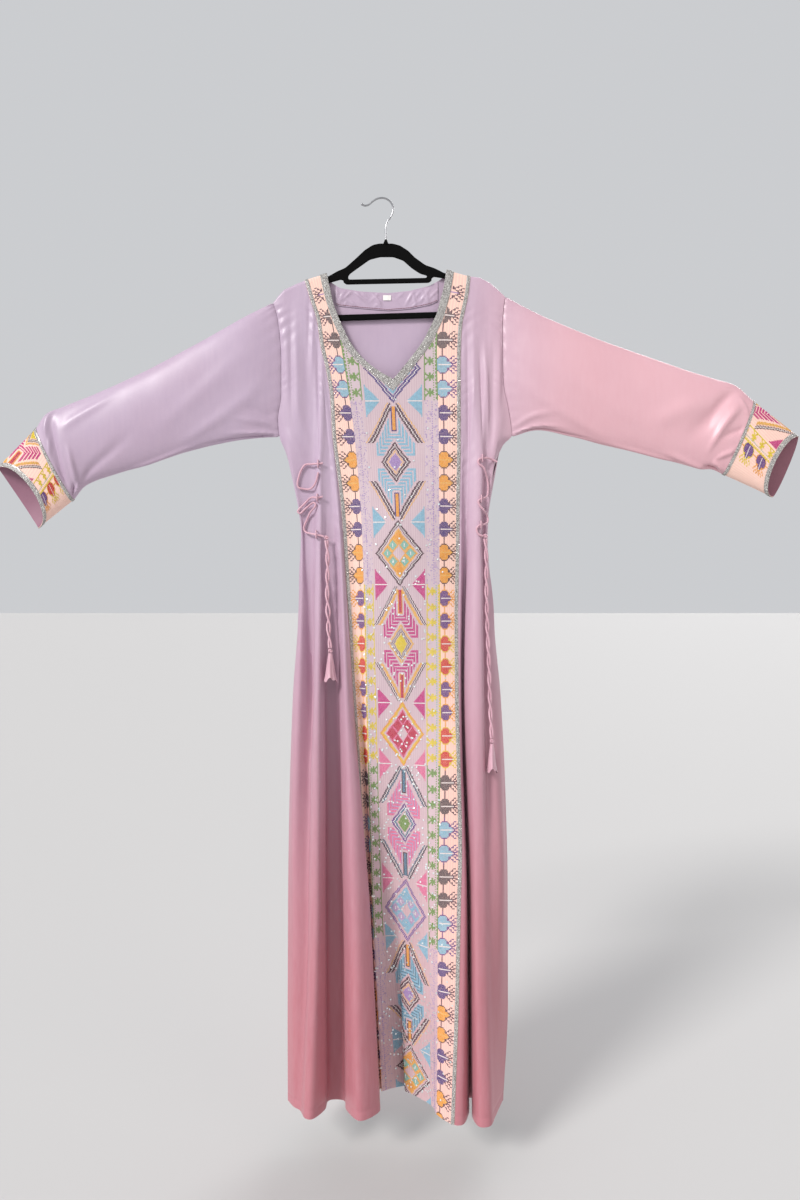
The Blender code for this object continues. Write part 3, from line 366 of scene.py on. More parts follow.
RIGHT_SLEEVE_CREASES = (
    (0.02, 100, 0.4, 155, 9, 2.5), (0.12, 70, 0.55, 125, 12, 2), (0.35, 165, 0.7, 178, 8, 3),
    (0.05, 245, 0.5, 215, 10, 2.5), (0.6, 235, 0.95, 255, 8, 3),
    (-0.06, 172, 0.26, 150, 4, 3), (-0.06, 162, 0.24, 126, 4, 2.6), (-0.05, 176, 0.36, 166, 5, -3.4),
    (0.64, 128, 0.92, 18, 13, -7), (0.74, 140, 0.96, 40, 10, 5), (0.5, 120, 0.74, 60, 13, 3.4),
    (0.84, 112, 1.04, 74, 5, -3.4), (0.84, 146, 1.05, 106, 5, 3.6), (0.74, 160, 0.98, 178, 8, -6),
    (0.82, 146, 1, 166, 6, 4.5), (0.88, 40, 1.05, 66, 5, 3), (0.56, 150, 0.82, 176, 9, 3.4),
)

# Unevenness of each cloth: how wide and how tall its waves are, and the draw that places them
RIPPLES = {
    "left side": (13, 0.45, 2), "right side": (13, 0.45, 3), "back": (15, 0.45, 4),
    "panel": (19, 0.5, 5), "sleeve": (23, 0.3, 8), "cuff": (21, 0.35, 9),
}
# Gathers along a front side's outer and its inner edge: pitch, height, lower and upper end
OUTER_GATHERS = (18, 1.3, -350, -150)
INNER_GATHERS = (23, 0.9, WAIST, -170)
# Wrinkles of the neck facing, and the ranges of their x, height, lean, half width and height
WRINKLE_COUNT = 34
WRINKLE_HALF_LENGTH = 11
WRINKLE_RANGES = ((-82, 96), (-186, -160), (-1.3, 1.3), (1.5, 3.2), (1.2, 2.8))

# Fineness of the shown cloth, whose rows stand closer together above FINE_FOOT
FINE_STEP, FINE_FOOT = 4.5, -640.0
ROW_STEP = 8.0
LEFT_COLUMNS = 92
RIGHT_COLUMNS = 84
PANEL_HALF_COLUMNS = 42
BACK_COLUMNS = (24, 40, 24)
FACING_COLUMNS, FACING_ROWS = 97, 17
SLEEVE_SIDES, SLEEVE_ROWS = 108, 112
CUFF_ROWS = 34
HEM_TURN = 14.0


# Smooth curves and tables

def column(table, index):
    return np.array([row[index] for row in table], float)


def eased(knots, values, at):
    """A smooth curve through values given at falling knots, which never overshoots them."""
    k, v = -np.asarray(knots, float), np.asarray(values, float)
    h, slope = np.diff(k), np.diff(v) / np.diff(k)
    rate = np.zeros(len(v))
    for i in range(1, len(v) - 1):
        if slope[i - 1] * slope[i] > 0:
            a, b = 2 * h[i] + h[i - 1], h[i] + 2 * h[i - 1]
            rate[i] = (a + b) / (a / slope[i - 1] + b / slope[i])
    rate[0], rate[-1] = slope[0], slope[-1]
    x = np.clip(-np.asarray(at, float), k[0], k[-1])
    i = np.clip(np.searchsorted(k, x) - 1, 0, len(h) - 1)
    f = (x - k[i]) / h[i]
    rise = v[i] + h[i] * rate[i] * f
    turn = 3 * (v[i + 1] - v[i]) - h[i] * (2 * rate[i] + rate[i + 1])
    end = 2 * (v[i] - v[i + 1]) + h[i] * (rate[i] + rate[i + 1])
    return rise + turn * f ** 2 + end * f ** 3


def smooth(share):
    share = np.clip(share, 0, 1)
    return share * share * (3 - 2 * share)


def pick(values, places):
    return np.take_along_axis(values, places[..., None], axis=1)


def through(points, at):
    """Points at places `at`, counted in points, on a rounded curve through each row of points."""
    first = 2 * points[:, :1] - points[:, 1:2]
    last = 2 * points[:, -1:] - points[:, -2:-1]
    p = np.concatenate([first, points, last], axis=1)
    h = np.maximum(np.linalg.norm(np.diff(p, axis=1), axis=2), 1e-6) ** 0.5
    slope = np.diff(p, axis=1) / h[..., None]
    share = (h[:, :-1] / (h[:, :-1] + h[:, 1:]))[..., None]
    rate = slope[:, :-1] * (1 - share) + slope[:, 1:] * share
    i = np.clip(np.floor(at).astype(int), 0, points.shape[1] - 2)
    f = (at - i)[..., None]
    step = pick(h[..., None], i + 1)
    a, b, m, n = pick(points, i), pick(points, i + 1), pick(rate, i) * step, pick(rate, i + 1) * step
    return a + m * f + (3 * (b - a) - 2 * m - n) * f ** 2 + (2 * (a - b) + m + n) * f ** 3


def curve_through(points, at):
    return through(np.asarray(points, float)[None], np.asarray(at, float)[None])[0]


def run_along(points):
    return np.concatenate([[0], np.cumsum(np.linalg.norm(np.diff(points, axis=0), axis=1))])


def between(a, b, share):
    return a + (b - a) * share


# The hanging cloth as fold lines

def shoulder_height(x):
    return np.interp(x, column(SHOULDERS, 0), column(SHOULDERS, 1)) - SATIN / 2


def height(level, x):
    share = np.clip((level - YOKE) / (TOP - YOKE), 0, 1)
    return level + share * (shoulder_height(x) - TOP)


def over_ridge(level):
    """How much of its depth the cloth has, as it turns over the hanger's shoulder."""
    fall = np.clip((TOP - level) / RIDGE_RADIUS, 0, 1)
    return np.maximum(np.sqrt(1 - (1 - fall) ** 2), RIDGE_HALF_GAP / RIDGE_RADIUS)


def edge_at(table, levels):
    knots = column(table, 0)
    return np.stack([eased(knots, column(table, i), levels) for i in (1, 2)], axis=-1)


def fold_at(row, levels, yoke_y, top_x):
    xs = (top_x,) + (row[0],) + row[1::2]
    ys = (math.copysign(RIDGE_RADIUS, yoke_y), yoke_y) + row[2::2]
    knots = (TOP,) + FOLD_LEVELS
    return np.stack([eased(knots, xs, levels), eased(knots, ys, levels)], axis=-1)


def fold_lines(folds, left, right, levels, yoke_y):
    yoke = [edge_at(left, YOKE)[0], edge_at(right, YOKE)[0]]
    top = [edge_at(left, TOP)[0], edge_at(right, TOP)[0]]
    return [fold_at(row, levels, yoke_y, np.interp(row[0], yoke, top)) for row in folds.values()]


def front_lines(levels):
    return np.stack(
        [edge_at(LEFT_SIDE, levels)]
        + fold_lines(LEFT_FOLDS, LEFT_SIDE, PANEL_LEFT, levels, FRONT_AT_YOKE)
        + [edge_at(PANEL_LEFT, levels)]
        + fold_lines(PANEL_FOLDS, PANEL_LEFT, PANEL_RIGHT, levels, FRONT_AT_YOKE)
        + [edge_at(PANEL_RIGHT, levels)]
        + fold_lines(RIGHT_FOLDS, PANEL_RIGHT, RIGHT_SIDE, levels, FRONT_AT_YOKE)
        + [edge_at(RIGHT_SIDE, levels)], axis=1)


def back_lines(levels):
    ends = [edge_at(table, levels) for table in (LEFT_SIDE, RIGHT_SIDE)]
    for end in ends:
        end[:, 1] = np.where(levels >= UNDERARM, -end[:, 1], end[:, 1] + SHOWN_SATIN + SEAM)
    folds = fold_lines(BACK_FOLDS, LEFT_SIDE, RIGHT_SIDE, levels, BACK_AT_YOKE)
    return np.stack([ends[0]] + folds + [ends[1]], axis=1)


def layer(which, levels, at):
    """x, y, z at levels (one a row) and at places counted in fold lines across (a row for each)."""
    levels = np.asarray(levels, float)
    flat = through(front_lines(levels) if which == "front" else back_lines(levels), at)
    deep = flat[..., 1] * over_ridge(levels)[:, None]
    return np.stack([flat[..., 0], deep, height(levels[:, None], flat[..., 0])], axis=-1)


def whole_rows(which, levels, fine):
    """The same places across at every level."""
    return layer(which, levels, np.tile(fine, (len(levels), 1)))


LINES = (
    ["left side"] + list(LEFT_FOLDS) + ["panel left"] + list(PANEL_FOLDS)
    + ["panel right"] + list(RIGHT_FOLDS) + ["right side"]
)
PANEL_START, PANEL_MIDDLE = LINES.index("panel left"), LINES.index("panel centre")
PANEL_END, LAST_LINE = LINES.index("panel right"), len(LINES) - 1
HEM_ROWS = (HEM + HEM_TURN + 1.5, HEM + HEM_TURN, HEM + HEM_TURN - 1.5, HEM + 4, HEM + 1.2, HEM)
LEVELS = np.array(
    [TOP, TOP - 0.6, TOP - 1.5, TOP - 3, TOP - 5, TOP - 8]
    + list(np.arange(TOP - 14, FINE_FOOT, -FINE_STEP))
    + list(np.arange(FINE_FOOT, HEM + HEM_TURN + 5, -ROW_STEP)) + list(HEM_ROWS)
)
NECK_ROWS = int(np.argmin(abs(LEVELS - NECK_TIP)))
LEVELS[NECK_ROWS] = NECK_TIP


def evenly(which, first, last, count, levels):
    """Line numbers of columns at even distances along the cloth, a row for each level."""
    fine = np.linspace(first, last, 10 * (last - first) + 1)
    cloth = whole_rows(which, levels, fine)
    slack = SEAM / 2 if which == "front" else 0
    places = []
    for row in cloth:
        run = run_along(row)
        places.append(np.interp(np.linspace(slack, run[-1] - slack, count + 1), run, fine))
    return np.array(places)


def columns(which, first, last, count):
    """Columns that are even on the chest and keep to their folds below the waist."""
    here = evenly(which, first, last, count, LEVELS)
    low = evenly(which, first, last, count, np.array([KNEE]))
    hang = smooth((YOKE - LEVELS) / (YOKE - WAIST))[:, None]
    mixed = (1 - hang) * here + hang * low
    mixed[:, 0], mixed[:, -1] = here[:, 0], here[:, -1]
    return mixed


def front_spot(xs, levels):
    """The points of the front at each x and level, on its foremost layer there."""
    spots = []
    rows = whole_rows("front", levels, np.linspace(0, LAST_LINE, 8 * LAST_LINE + 1))
    for x, level, row in zip(xs, levels, rows):
        step = np.diff(row, axis=0)
        crossing = step[:, 0] != 0
        share = (x - row[:-1, 0]) / np.where(crossing, step[:, 0], 1)
        met = (share >= 0) & (share <= 1) & crossing
        depths = (row[:-1, 1] + step[:, 1] * share)[met]
        end = row[0, 1] if x < row[0, 0] else row[-1, 1]
        spots.append((x, depths.min() if len(depths) else end, height(level, x)))
    return np.array(spots)


# Creases and cloth walls

def unit(vectors):
    return vectors / np.maximum(np.linalg.norm(vectors, axis=-1, keepdims=True), 1e-9)


def normals_of(grid, closed=False):
    """Unit normals of a grid of points, to the left of down x across."""
    if closed:
        across = np.roll(grid, -1, axis=1) - np.roll(grid, 1, axis=1)
    else:
        across = np.gradient(grid, axis=1)
    return unit(np.cross(np.gradient(grid, axis=0), across))


def lifted(grid, heights, closed=False):
    """A grid of points moved along its normals, all by one height or each by its own."""
    return grid + np.broadcast_to(heights, grid.shape[:2])[..., None] * normals_of(grid, closed)


def ridges(places, table):
    """Height of soft ridges at flat places. Each fades at both its ends."""
    total = np.zeros(places.shape[:-1])
    for x1, z1, x2, z2, wide, tall in table:
        start, reach = np.array([x1, z1]), np.array([x2 - x1, z2 - z1])
        away = places - start
        along = away @ reach / (reach @ reach)
        off = np.linalg.norm(away - along[..., None] * reach, axis=-1) / wide
        total += tall * np.exp(-off ** 2) * smooth(2.5 * along) * smooth(2.5 * (1 - along))
    return total


def ripple(places, wide, tall, seed):
    """A gentle unevenness that runs on from piece to piece."""
    phase = np.random.default_rng(seed).uniform(0, 2 * math.pi, 6)
    x, z = places[..., 0] / wide, places[..., 1] / wide
    waves = (
        np.sin(x * 1.0 + 0.31 * z + phase[0]) + np.sin(x * 1.7 - 0.23 * z + phase[1])
        + 0.7 * np.sin(x * 2.9 + 0.17 * z + phase[2]) + 0.5 * np.sin(0.8 * z + 0.6 * x + phase[3])
    )
    return tall * waves / 3


def gathers(grid, edge, pitch, tall, low, high):
    """Small slanting puckers that run out from a seam at one side of a piece, between two heights."""
    slant, reach, drift, swell = 4.5, 15, 27, 19
    away = abs(grid[..., 0] - grid[:, edge:edge + 1 or None, 0])
    z = grid[..., 2]
    waves = np.sin(z * 2 * math.pi / pitch + 2.4 * np.sin(z / drift) - away / slant)
    waves *= 0.5 + 0.5 * np.sin(z / swell + 0.8)
    fade = smooth(away / 4) * np.exp(-away / reach)
    return tall * waves * fade * smooth((z - low) / 30) * smooth((high - z) / 20)


def hem_groove(levels):
    """The line where a turned-up hem is stitched down."""
    deep, half_width = 0.35, 1.2
    return -deep * np.exp(-((levels - HEM - HEM_TURN) / half_width) ** 2)


def flat_places(grid):
    return grid[..., (0, 2)]


def make_mesh(name, points, faces, uv=None, weave=None, inside=None):
    """A mesh from points in mm and faces. uv has a row for each face's corner, weave for each point."""
    mesh = bpy.data.meshes.new(name)
    points, faces = np.asarray(points, float), np.asarray(faces, int)
    mesh.vertices.add(len(points))
    mesh.vertices.foreach_set("co", (points * MM).ravel())
    mesh.loops.add(faces.size)
    mesh.loops.foreach_set("vertex_index", faces.ravel())
    mesh.polygons.add(len(faces))
    mesh.polygons.foreach_set("loop_start", np.arange(0, faces.size, faces.shape[1]))
    if inside is not None:
        mesh.polygons.foreach_set("material_index", inside.astype(int))
    mesh.update(calc_edges=True)
    for layout, values in (("OFBake", uv), ("Weave", weave)):
        if values is not None:
            corners = values if len(values) == faces.size else values[faces.ravel()]
            mesh.uv_layers.new(name=layout).data.foreach_set("uv", corners.ravel())
    mesh.shade_smooth()
    return mesh


def new_object(name, data, *materials):
    thing = bpy.data.objects.new(name, data)
    for material in materials:
        data.materials.append(material)
    bpy.context.scene.collection.objects.link(thing)
    return thing


def grid_cells(rows, wide, closed):
    """The row and the column of each quad of a grid of points."""
    r, c = np.meshgrid(np.arange(rows - 1), np.arange(wide if closed else wide - 1), indexing="ij")
    return r.ravel(), c.ravel()


def grid_quads(rows, wide, closed):
    r, c = grid_cells(rows, wide, closed)
    d = (c + 1) % wide
    return np.column_stack([r * wide + c, (r + 1) * wide + c, (r + 1) * wide + d, r * wide + d])


def open_edges(quads):
    """The edges that only one quad has, in that quad's own direction."""
    pairs = np.concatenate([quads[:, [i, (i + 1) % 4]] for i in range(4)])
    size = pairs.max() + 1
    key = pairs.min(axis=1) * size + pairs.max(axis=1)
    _, first, count = np.unique(key, return_index=True, return_counts=True)
    return pairs[first[count == 1]]


# Bake layout of a wall: its two sides lie next to each other, and its edges lie along the foot
SIDE_LEFT, SIDE_WIDTH = 0.005, 0.485
SIDE_TOP, SIDE_HEIGHT = 0.99, 0.96
EDGE_LEFT, EDGE_WIDTH = 0.01, 0.98
EDGE_TOP, EDGE_FOOT = 0.012, 0.004


def strip_layout(rows, wide, left, closed):
    """Bake layout of one side of a wall: each quad's corners in half of the picture."""
    corner = np.array([(0, 0), (0, 1), (1, 1), (1, 0)])
    r, c = grid_cells(rows, wide, closed)
    across = (c[:, None] + corner[None, :, 0]) / wide
    down = (r[:, None] + corner[None, :, 1]) / rows
    return np.stack([left + SIDE_LEFT + across * SIDE_WIDTH, SIDE_TOP - down * SIDE_HEIGHT], -1)


def cell_layout(count, outline):
    """Bake layout of many small alike pieces, each in its own square of the picture."""
    cells = math.ceil(math.sqrt(count))
    down, right = np.divmod(np.arange(count), cells)
    return ((np.column_stack([right, down])[:, None] + outline) / cells).reshape(-1, 2)


def cloth(name, grid, thickness, materials, closed=False, outward=1, weave=None, skip=None, same=None):
    """A cloth wall round a grid of middle points. Its second material is that of its inner side.

    skip marks the quads that are left out. same names, for each point, the point it is one with.
    """
    rows, wide = grid.shape[:2]
    count = rows * wide
    normals = normals_of(grid, closed)
    quads = grid_quads(rows, wide, closed)
    if same is not None:
        total = np.zeros((count, 3))
        np.add.at(total, same, normals.reshape(-1, 3))
        normals = unit(total)[same].reshape(grid.shape)
        quads = same[quads]
    rise = outward * thickness / 2 * normals
    points = np.concatenate([(grid + rise).reshape(-1, 3), (grid - rise).reshape(-1, 3)])
    keep = np.ones(len(quads), bool) if skip is None else ~skip.ravel()
    quads = quads[keep][:, ::outward]
    rims = open_edges(quads)
    faces = np.concatenate([quads, quads[:, ::-1] + count, np.column_stack([rims[:, ::-1], rims + count])])
    spots = np.arange(len(rims))[:, None] + np.array([0, 1, 1, 0])
    low = np.broadcast_to([EDGE_TOP, EDGE_TOP, EDGE_FOOT, EDGE_FOOT], spots.shape)
    layout = np.concatenate([
        strip_layout(rows, wide, 0, closed)[keep][:, ::outward],
        strip_layout(rows, wide, 0.5, closed)[keep][:, ::-outward],
        np.stack([EDGE_LEFT + EDGE_WIDTH * spots / max(len(rims), 1), low], -1),
    ]).reshape(-1, 2)
    inside = np.zeros(len(faces))
    if len(materials) > 1:
        inside[len(quads):2 * len(quads)] = 1
    weave = flat_places(grid) if weave is None else weave
    mesh = make_mesh(name, points, faces, layout, np.tile(weave.reshape(-1, 2) * MM, (2, 1)), inside)
    mesh.set_sharp_from_angle(angle=SHARP_TURN)
    return new_object(name, mesh, *materials)


# Shader groups

def feed(tree, node, inputs):
    """Sets inputs of a node. A value may be a number, a colour or another node's output."""
    for socket, value in inputs.items():
        if isinstance(value, bpy.types.NodeSocket):
            tree.links.new(value, node.inputs[socket])
        else:
            node.inputs[socket].default_value = value


def add(tree, kind, inputs=None, **settings):
    made = tree.nodes.new(kind)
    for name, value in settings.items():
        setattr(made, name, value)
    feed(tree, made, inputs or {})
    return made


def new_group(name, inputs, outputs):
    """A shader group with named sockets: its tree, its input node and its output node."""
    tree = bpy.data.node_groups.new(name, "ShaderNodeTree")
    for label, kind, value in inputs:
        socket = tree.interface.new_socket(label, in_out="INPUT", socket_type=kind)
        if value is not None:
            socket.default_value = value
    for label, kind in outputs:
        tree.interface.new_socket(label, in_out="OUTPUT", socket_type=kind)
    return tree, tree.nodes.new("NodeGroupInput"), tree.nodes.new("NodeGroupOutput")


def use(tree, group, inputs):
    return add(tree, "ShaderNodeGroup", inputs, node_tree=group)


NUMBER, COLOUR, VECTOR = "NodeSocketFloat", "NodeSocketColor", "NodeSocketVector"
MID_GREY = (0.5, 0.5, 0.5, 1)


def plus(tree, a, b):
    return add(tree, "ShaderNodeMath", {0: a, 1: b}, operation="ADD").outputs[0]


def times(tree, a, b):
    return add(tree, "ShaderNodeMath", {0: a, 1: b}, operation="MULTIPLY").outputs[0]


def beyond(tree, value, limit):
    return add(tree, "ShaderNodeMath", {0: value, 1: limit}, operation="GREATER_THAN").outputs[0]


def mixed(tree, share, a, b):
    return add(tree, "ShaderNodeMix", {0: share, 6: a, 7: b}, data_type="RGBA").outputs[2]


def noise(tree, place, scale, detail):
    return add(tree, "ShaderNodeTexNoise", {"Vector": place, "Scale": scale, "Detail": detail}).outputs[0]


def ribs(tree, place, scale, way):
    made = add(tree, "ShaderNodeTexWave", {"Vector": place, "Scale": scale}, bands_direction=way)
    return made.outputs["Fac"]


def ranged(tree, value, given=(0.0, 1.0), wanted=(0.0, 1.0), curve="LINEAR"):
    """A value taken from the given range to the wanted one."""
    ends = {"From Min": given[0], "From Max": given[1], "To Min": wanted[0], "To Max": wanted[1]}
    return add(tree, "ShaderNodeMapRange", {"Value": value, **ends}, interpolation_type=curve).outputs[0]


def object_place(tree):
    return add(tree, "ShaderNodeTexCoord").outputs["Object"]


def weave_place(tree):
    return add(tree, "ShaderNodeUVMap", uv_map="Weave").outputs[0]


def rgb(red, green, blue):
    """A shade given as it looks on a screen, from 0 to 255."""
    linear = []
    for value in (red, green, blue):
        value /= 255
        linear.append(value / 12.92 if value <= 0.04045 else ((value + 0.055) / 1.055) ** 2.4)
    return (*linear, 1.0)


def crinkle_group():
    """Fine crinkle of satin with its slubs: a height, and a mask of its tiny ridges."""
    tree, start, end = new_group(
        "Satin crinkle", [("Vector", VECTOR, None), ("Amount", NUMBER, 1)],
        [("Height", NUMBER), ("Mask", NUMBER)])
    place = start.outputs["Vector"]
    long = add(tree, "ShaderNodeMapping", {"Vector": place, "Scale": (1, 1, 0.18)}).outputs[0]
    fine, slub = noise(tree, place, 420, 3), noise(tree, long, 160, 2)
    soft = noise(tree, place, 38, 2)
    total = plus(tree, plus(tree, fine, times(tree, slub, 0.8)), times(tree, soft, 1.6))
    feed(tree, end, {"Height": times(tree, total, start.outputs["Amount"]), "Mask": slub})
    return tree


def thread_group():
    """Floss: a shade that varies from stitch to stitch, and the relief of its twist."""
    tree, start, end = new_group(
        "Floss", [("Vector", VECTOR, None), ("Shade", COLOUR, MID_GREY)],
        [("Shade", COLOUR), ("Height", NUMBER)])
    place, plain = start.outputs["Vector"], start.outputs["Shade"]
    light = mixed(tree, 0.1, plain, (0.86, 0.84, 0.86, 1))
    dark = mixed(tree, 0.35, plain, (0.02, 0.01, 0.03, 1))
    patches = ranged(tree, noise(tree, place, 260, 2), (0.3, 0.7))
    evened = ranged(tree, noise(tree, place, 14, 1), wanted=(0.45, 0.7))
    strands = add(
        tree, "ShaderNodeTexWave", {"Vector": place, "Scale": 520, "Distortion": 2, "Detail": 1},
        bands_direction="DIAGONAL")
    feed(tree, end, {
        "Shade": mixed(tree, evened, mixed(tree, patches, dark, light), plain),
        "Height": strands.outputs["Fac"],
    })
    return tree


def glitter_group():
    """Tiny flakes, each with its own gloss and tilt, and a shade painted lighter or darker at random:
    painted glints and dark facets.
    """
    tree, start, end = new_group(
        "Glitter",
        [("Vector", VECTOR, None), ("Flakes", NUMBER, 900), ("Shade", COLOUR, MID_GREY)],
        [("Shade", COLOUR), ("Gloss", NUMBER), ("Height", NUMBER)])
    plain = start.outputs["Shade"]
    cells = add(
        tree, "ShaderNodeTexVoronoi", {"Vector": start.outputs["Vector"], "Scale": start.outputs["Flakes"]})
    tone = add(tree, "ShaderNodeSeparateColor", {"Color": cells.outputs["Color"]})
    # Painted glints and dark facets: a darkened and a whitened copy of the shade, mixed flake by flake
    dark = mixed(tree, 0.55, plain, (0.03, 0.03, 0.03, 1))
    light = mixed(tree, 0.75, plain, (1, 1, 0.96, 1))
    feed(tree, end, {
        "Shade": mixed(tree, ranged(tree, tone.outputs[0], (0.25, 0.95)), dark, light),
        "Gloss": ranged(tree, tone.outputs[1], wanted=(0.12, 0.6)),
        "Height": tone.outputs[2],
    })
    return tree


# Materials

def new_material(name):
    material = bpy.data.materials.new(name)
    material.use_nodes = True
    tree = material.node_tree
    return material, tree, tree.nodes["Principled BSDF"]


def bump(tree, shader, height_value, distance, strength):
    made = add(tree, "ShaderNodeBump", {"Height": height_value, "Distance": distance, "Strength": strength})
    tree.links.new(made.outputs[0], shader.inputs["Normal"])


def satin_material(name, tints, crinkle, dull=0):
    """Heavy satin. Its colour goes from lilac at the top left and peach at the top right to deeper rose
    towards the hem. This is mostly painted light: the tints its sheen takes from its surroundings, painted
    into the cloth. Random patches of painted shade lie over it.
    """
    material, tree, shader = new_material(name)
    place = object_place(tree)
    axes = add(tree, "ShaderNodeSeparateXYZ", {"Vector": place})
    # Painted light: lilac to peach across the top and deeper rose towards the hem
    low = ranged(tree, axes.outputs["Z"], (-0.35, -1.5), curve="SMOOTHSTEP")
    side = ranged(tree, axes.outputs["X"], (0.05, 0.38), curve="SMOOTHSTEP")
    shade = mixed(tree, low, mixed(tree, side, tints["lilac"], tints["peach"]), tints["rose"])
    # Random patches of painted shade, mixed towards the shadow tint
    shade = mixed(tree, times(tree, noise(tree, place, 9, 2), 0.22), shade, tints["shadow"])
    relief = use(tree, crinkle, {"Vector": place, "Amount": 1})
    # Painted highlight: the crinkle's tiny ridges are mixed towards the light tint
    feed(tree, shader, {
        "Base Color": mixed(tree, times(tree, relief.outputs["Mask"], 0.12), shade, tints["light"]),
        "Roughness": ranged(tree, relief.outputs["Mask"], wanted=(0.3 + dull, 0.44 + dull)),
        "Sheen Weight": 0.25, "Sheen Roughness": 0.35, "Sheen Tint": rgb(255, 225, 235),
        "Specular IOR Level": 0.5, "Anisotropic": 0.3,
    })
    bump(tree, shader, relief.outputs["Height"], 0.00012, 0.55)
    return material


def ground_material(name, half_field, half_band, crinkle):
    """Peach cotton with fine woven stripes. The centre field is greyer, like its narrow bands. Towards the
    hem it is painted rosier, the same painted light as the satin's rose, and its tiny ridges carry a
    painted highlight.
    """
    material, tree, shader = new_material(name)
    weave = weave_place(tree)
    axes = add(tree, "ShaderNodeSeparateXYZ", {"Vector": weave})
    wave = times(tree, axes.outputs["X"], 2 * math.pi / STRIPE_PITCH)
    stripe = add(tree, "ShaderNodeMath", {0: wave}, operation="SINE").outputs[0]
    stripe = times(tree, plus(tree, stripe, 1), 0.5)
    peach = mixed(tree, stripe, rgb(246, 210, 190), rgb(242, 194, 182))
    field = mixed(tree, stripe, rgb(198, 178, 184), rgb(188, 162, 174))
    band = mixed(tree, stripe, rgb(194, 178, 188), rgb(200, 176, 184))
    across = add(tree, "ShaderNodeMath", {0: axes.outputs["X"]}, operation="ABSOLUTE").outputs[0]
    shade = mixed(tree, beyond(tree, across, half_field * MM), field, band)
    shade = mixed(tree, beyond(tree, across, half_band * MM), shade, peach)
    # Painted light: towards the hem the ground is mixed towards rose, like the satin's painted rose cast
    low = ranged(tree, axes.outputs["Y"], (-0.7, -1.5), curve="SMOOTHSTEP")
    shade = mixed(tree, times(tree, low, 0.3), shade, rgb(226, 160, 160))
    relief = use(tree, crinkle, {"Vector": object_place(tree), "Amount": 0.7})
    # Painted highlight: the crinkle's tiny ridges are mixed towards a paler peach
    feed(tree, shader, {
        "Base Color": mixed(tree, times(tree, relief.outputs["Mask"], 0.2), shade, rgb(250, 232, 226)),
        "Roughness": 0.62, "Sheen Weight": 0.2,
    })
    threads = plus(tree, ribs(tree, weave, 250, "X"), ribs(tree, weave, 250, "Y"))
    bump(tree, shader, plus(tree, threads, relief.outputs["Height"]), 0.0001, 0.6)
    return material


def floss_material(name, shade, floss):
    material, tree, shader = new_material(name)
    thread = use(tree, floss, {"Vector": object_place(tree), "Shade": shade})
    feed(tree, shader, {
        "Base Color": thread.outputs["Shade"], "Roughness": 0.62, "Specular IOR Level": 0.22,
    })
    bump(tree, shader, thread.outputs["Height"], 0.0001, 0.5)
    return material


def glitter_material(name, shade, glitter, flakes, metallic):
    material, tree, shader = new_material(name)
    shiny = use(tree, glitter, {"Vector": object_place(tree), "Flakes": flakes, "Shade": shade})
    feed(tree, shader, {
        "Base Color": shiny.outputs["Shade"], "Roughness": shiny.outputs["Gloss"], "Metallic": metallic,
    })
    bump(tree, shader, shiny.outputs["Height"], 0.0004, 0.8)
    return material


def cord_material(name, crinkle):
    material, tree, shader = new_material(name)
    place = object_place(tree)
    relief = use(tree, crinkle, {"Vector": place, "Amount": 1.4})
    feed(tree, shader, {
        "Base Color": mixed(tree, noise(tree, place, 40, 2), rgb(196, 146, 162), rgb(222, 182, 194)),
        "Roughness": ranged(tree, relief.outputs["Mask"], wanted=(0.28, 0.45)), "Sheen Weight": 0.3,
    })
    bump(tree, shader, relief.outputs["Height"], 0.00015, 0.6)
    return material


def flock_material():
    material, tree, shader = new_material("Black flock")
    place = object_place(tree)
    worn = noise(tree, place, 60, 3)
    feed(tree, shader, {
        "Base Color": mixed(tree, worn, (0.0015, 0.0015, 0.0015, 1), (0.004, 0.004, 0.004, 1)),
        "Roughness": 0.95, "Specular IOR Level": 0.08, "Sheen Weight": 0.02, "Sheen Roughness": 0.6,
    })
    bump(tree, shader, noise(tree, place, 1500, 2), 0.0004, 0.9)
    return material


def chrome_material():
    material, tree, shader = new_material("Chrome wire")
    scuffs = noise(tree, object_place(tree), 300, 4)
    feed(tree, shader, {
        "Base Color": mixed(tree, scuffs, rgb(150, 152, 156), rgb(186, 186, 188)),
        "Roughness": ranged(tree, scuffs, wanted=(0.22, 0.4)), "Metallic": 1,
    })
    return material


def sequin_material():
    material, tree, shader = new_material("Clear sequins")
    drift = noise(tree, object_place(tree), 90, 1)
    feed(tree, shader, {
        "Base Color": mixed(tree, drift, rgb(214, 240, 246), rgb(255, 246, 240)),
        "Roughness": 0.12, "Metallic": 0.35, "Specular IOR Level": 0.8,
    })
    return material


def label_material():
    material, tree, shader = new_material("Label tape")
    woven = ribs(tree, weave_place(tree), 330, "Y")
    shade = mixed(tree, woven, rgb(236, 232, 228), rgb(250, 248, 246))
    feed(tree, shader, {"Base Color": shade, "Roughness": 0.7})
    bump(tree, shader, woven, 0.0001, 0.5)
    return material


# The embroidery, charted by rule in cross stitches

CELL = 1.93
FIELD_HALF, BAND, BORDER = 27, 12, 17
FIELD_EDGE, BAND_EDGE = 53.0, 76.3
CHART_HALF = FIELD_HALF + BAND + BORDER
CHART_ROWS = 727
BEETLE_PITCH, FIRST_BEETLE = 20, 10
PERIOD = 158
FIRST_SMALL = 152
FIRST_TURN = 100
BAND_SPECKS = 0.14
# Where the chart's rows lie on the cloth: row, level
DROP = (
    (-8, -132), (10, -167), (130, -417.6), (250, -658.7), (370, -890.8), (490, -1122.3), (610, -1350),
    (710, -1527), (727, -1558),
)
# Where the chart's columns lie: distance from the middle of the panel to each fold line
PANEL_ACROSS = (-116, -97, -78, -54, -27.5, -15.5, 0, 54, 78, 116)

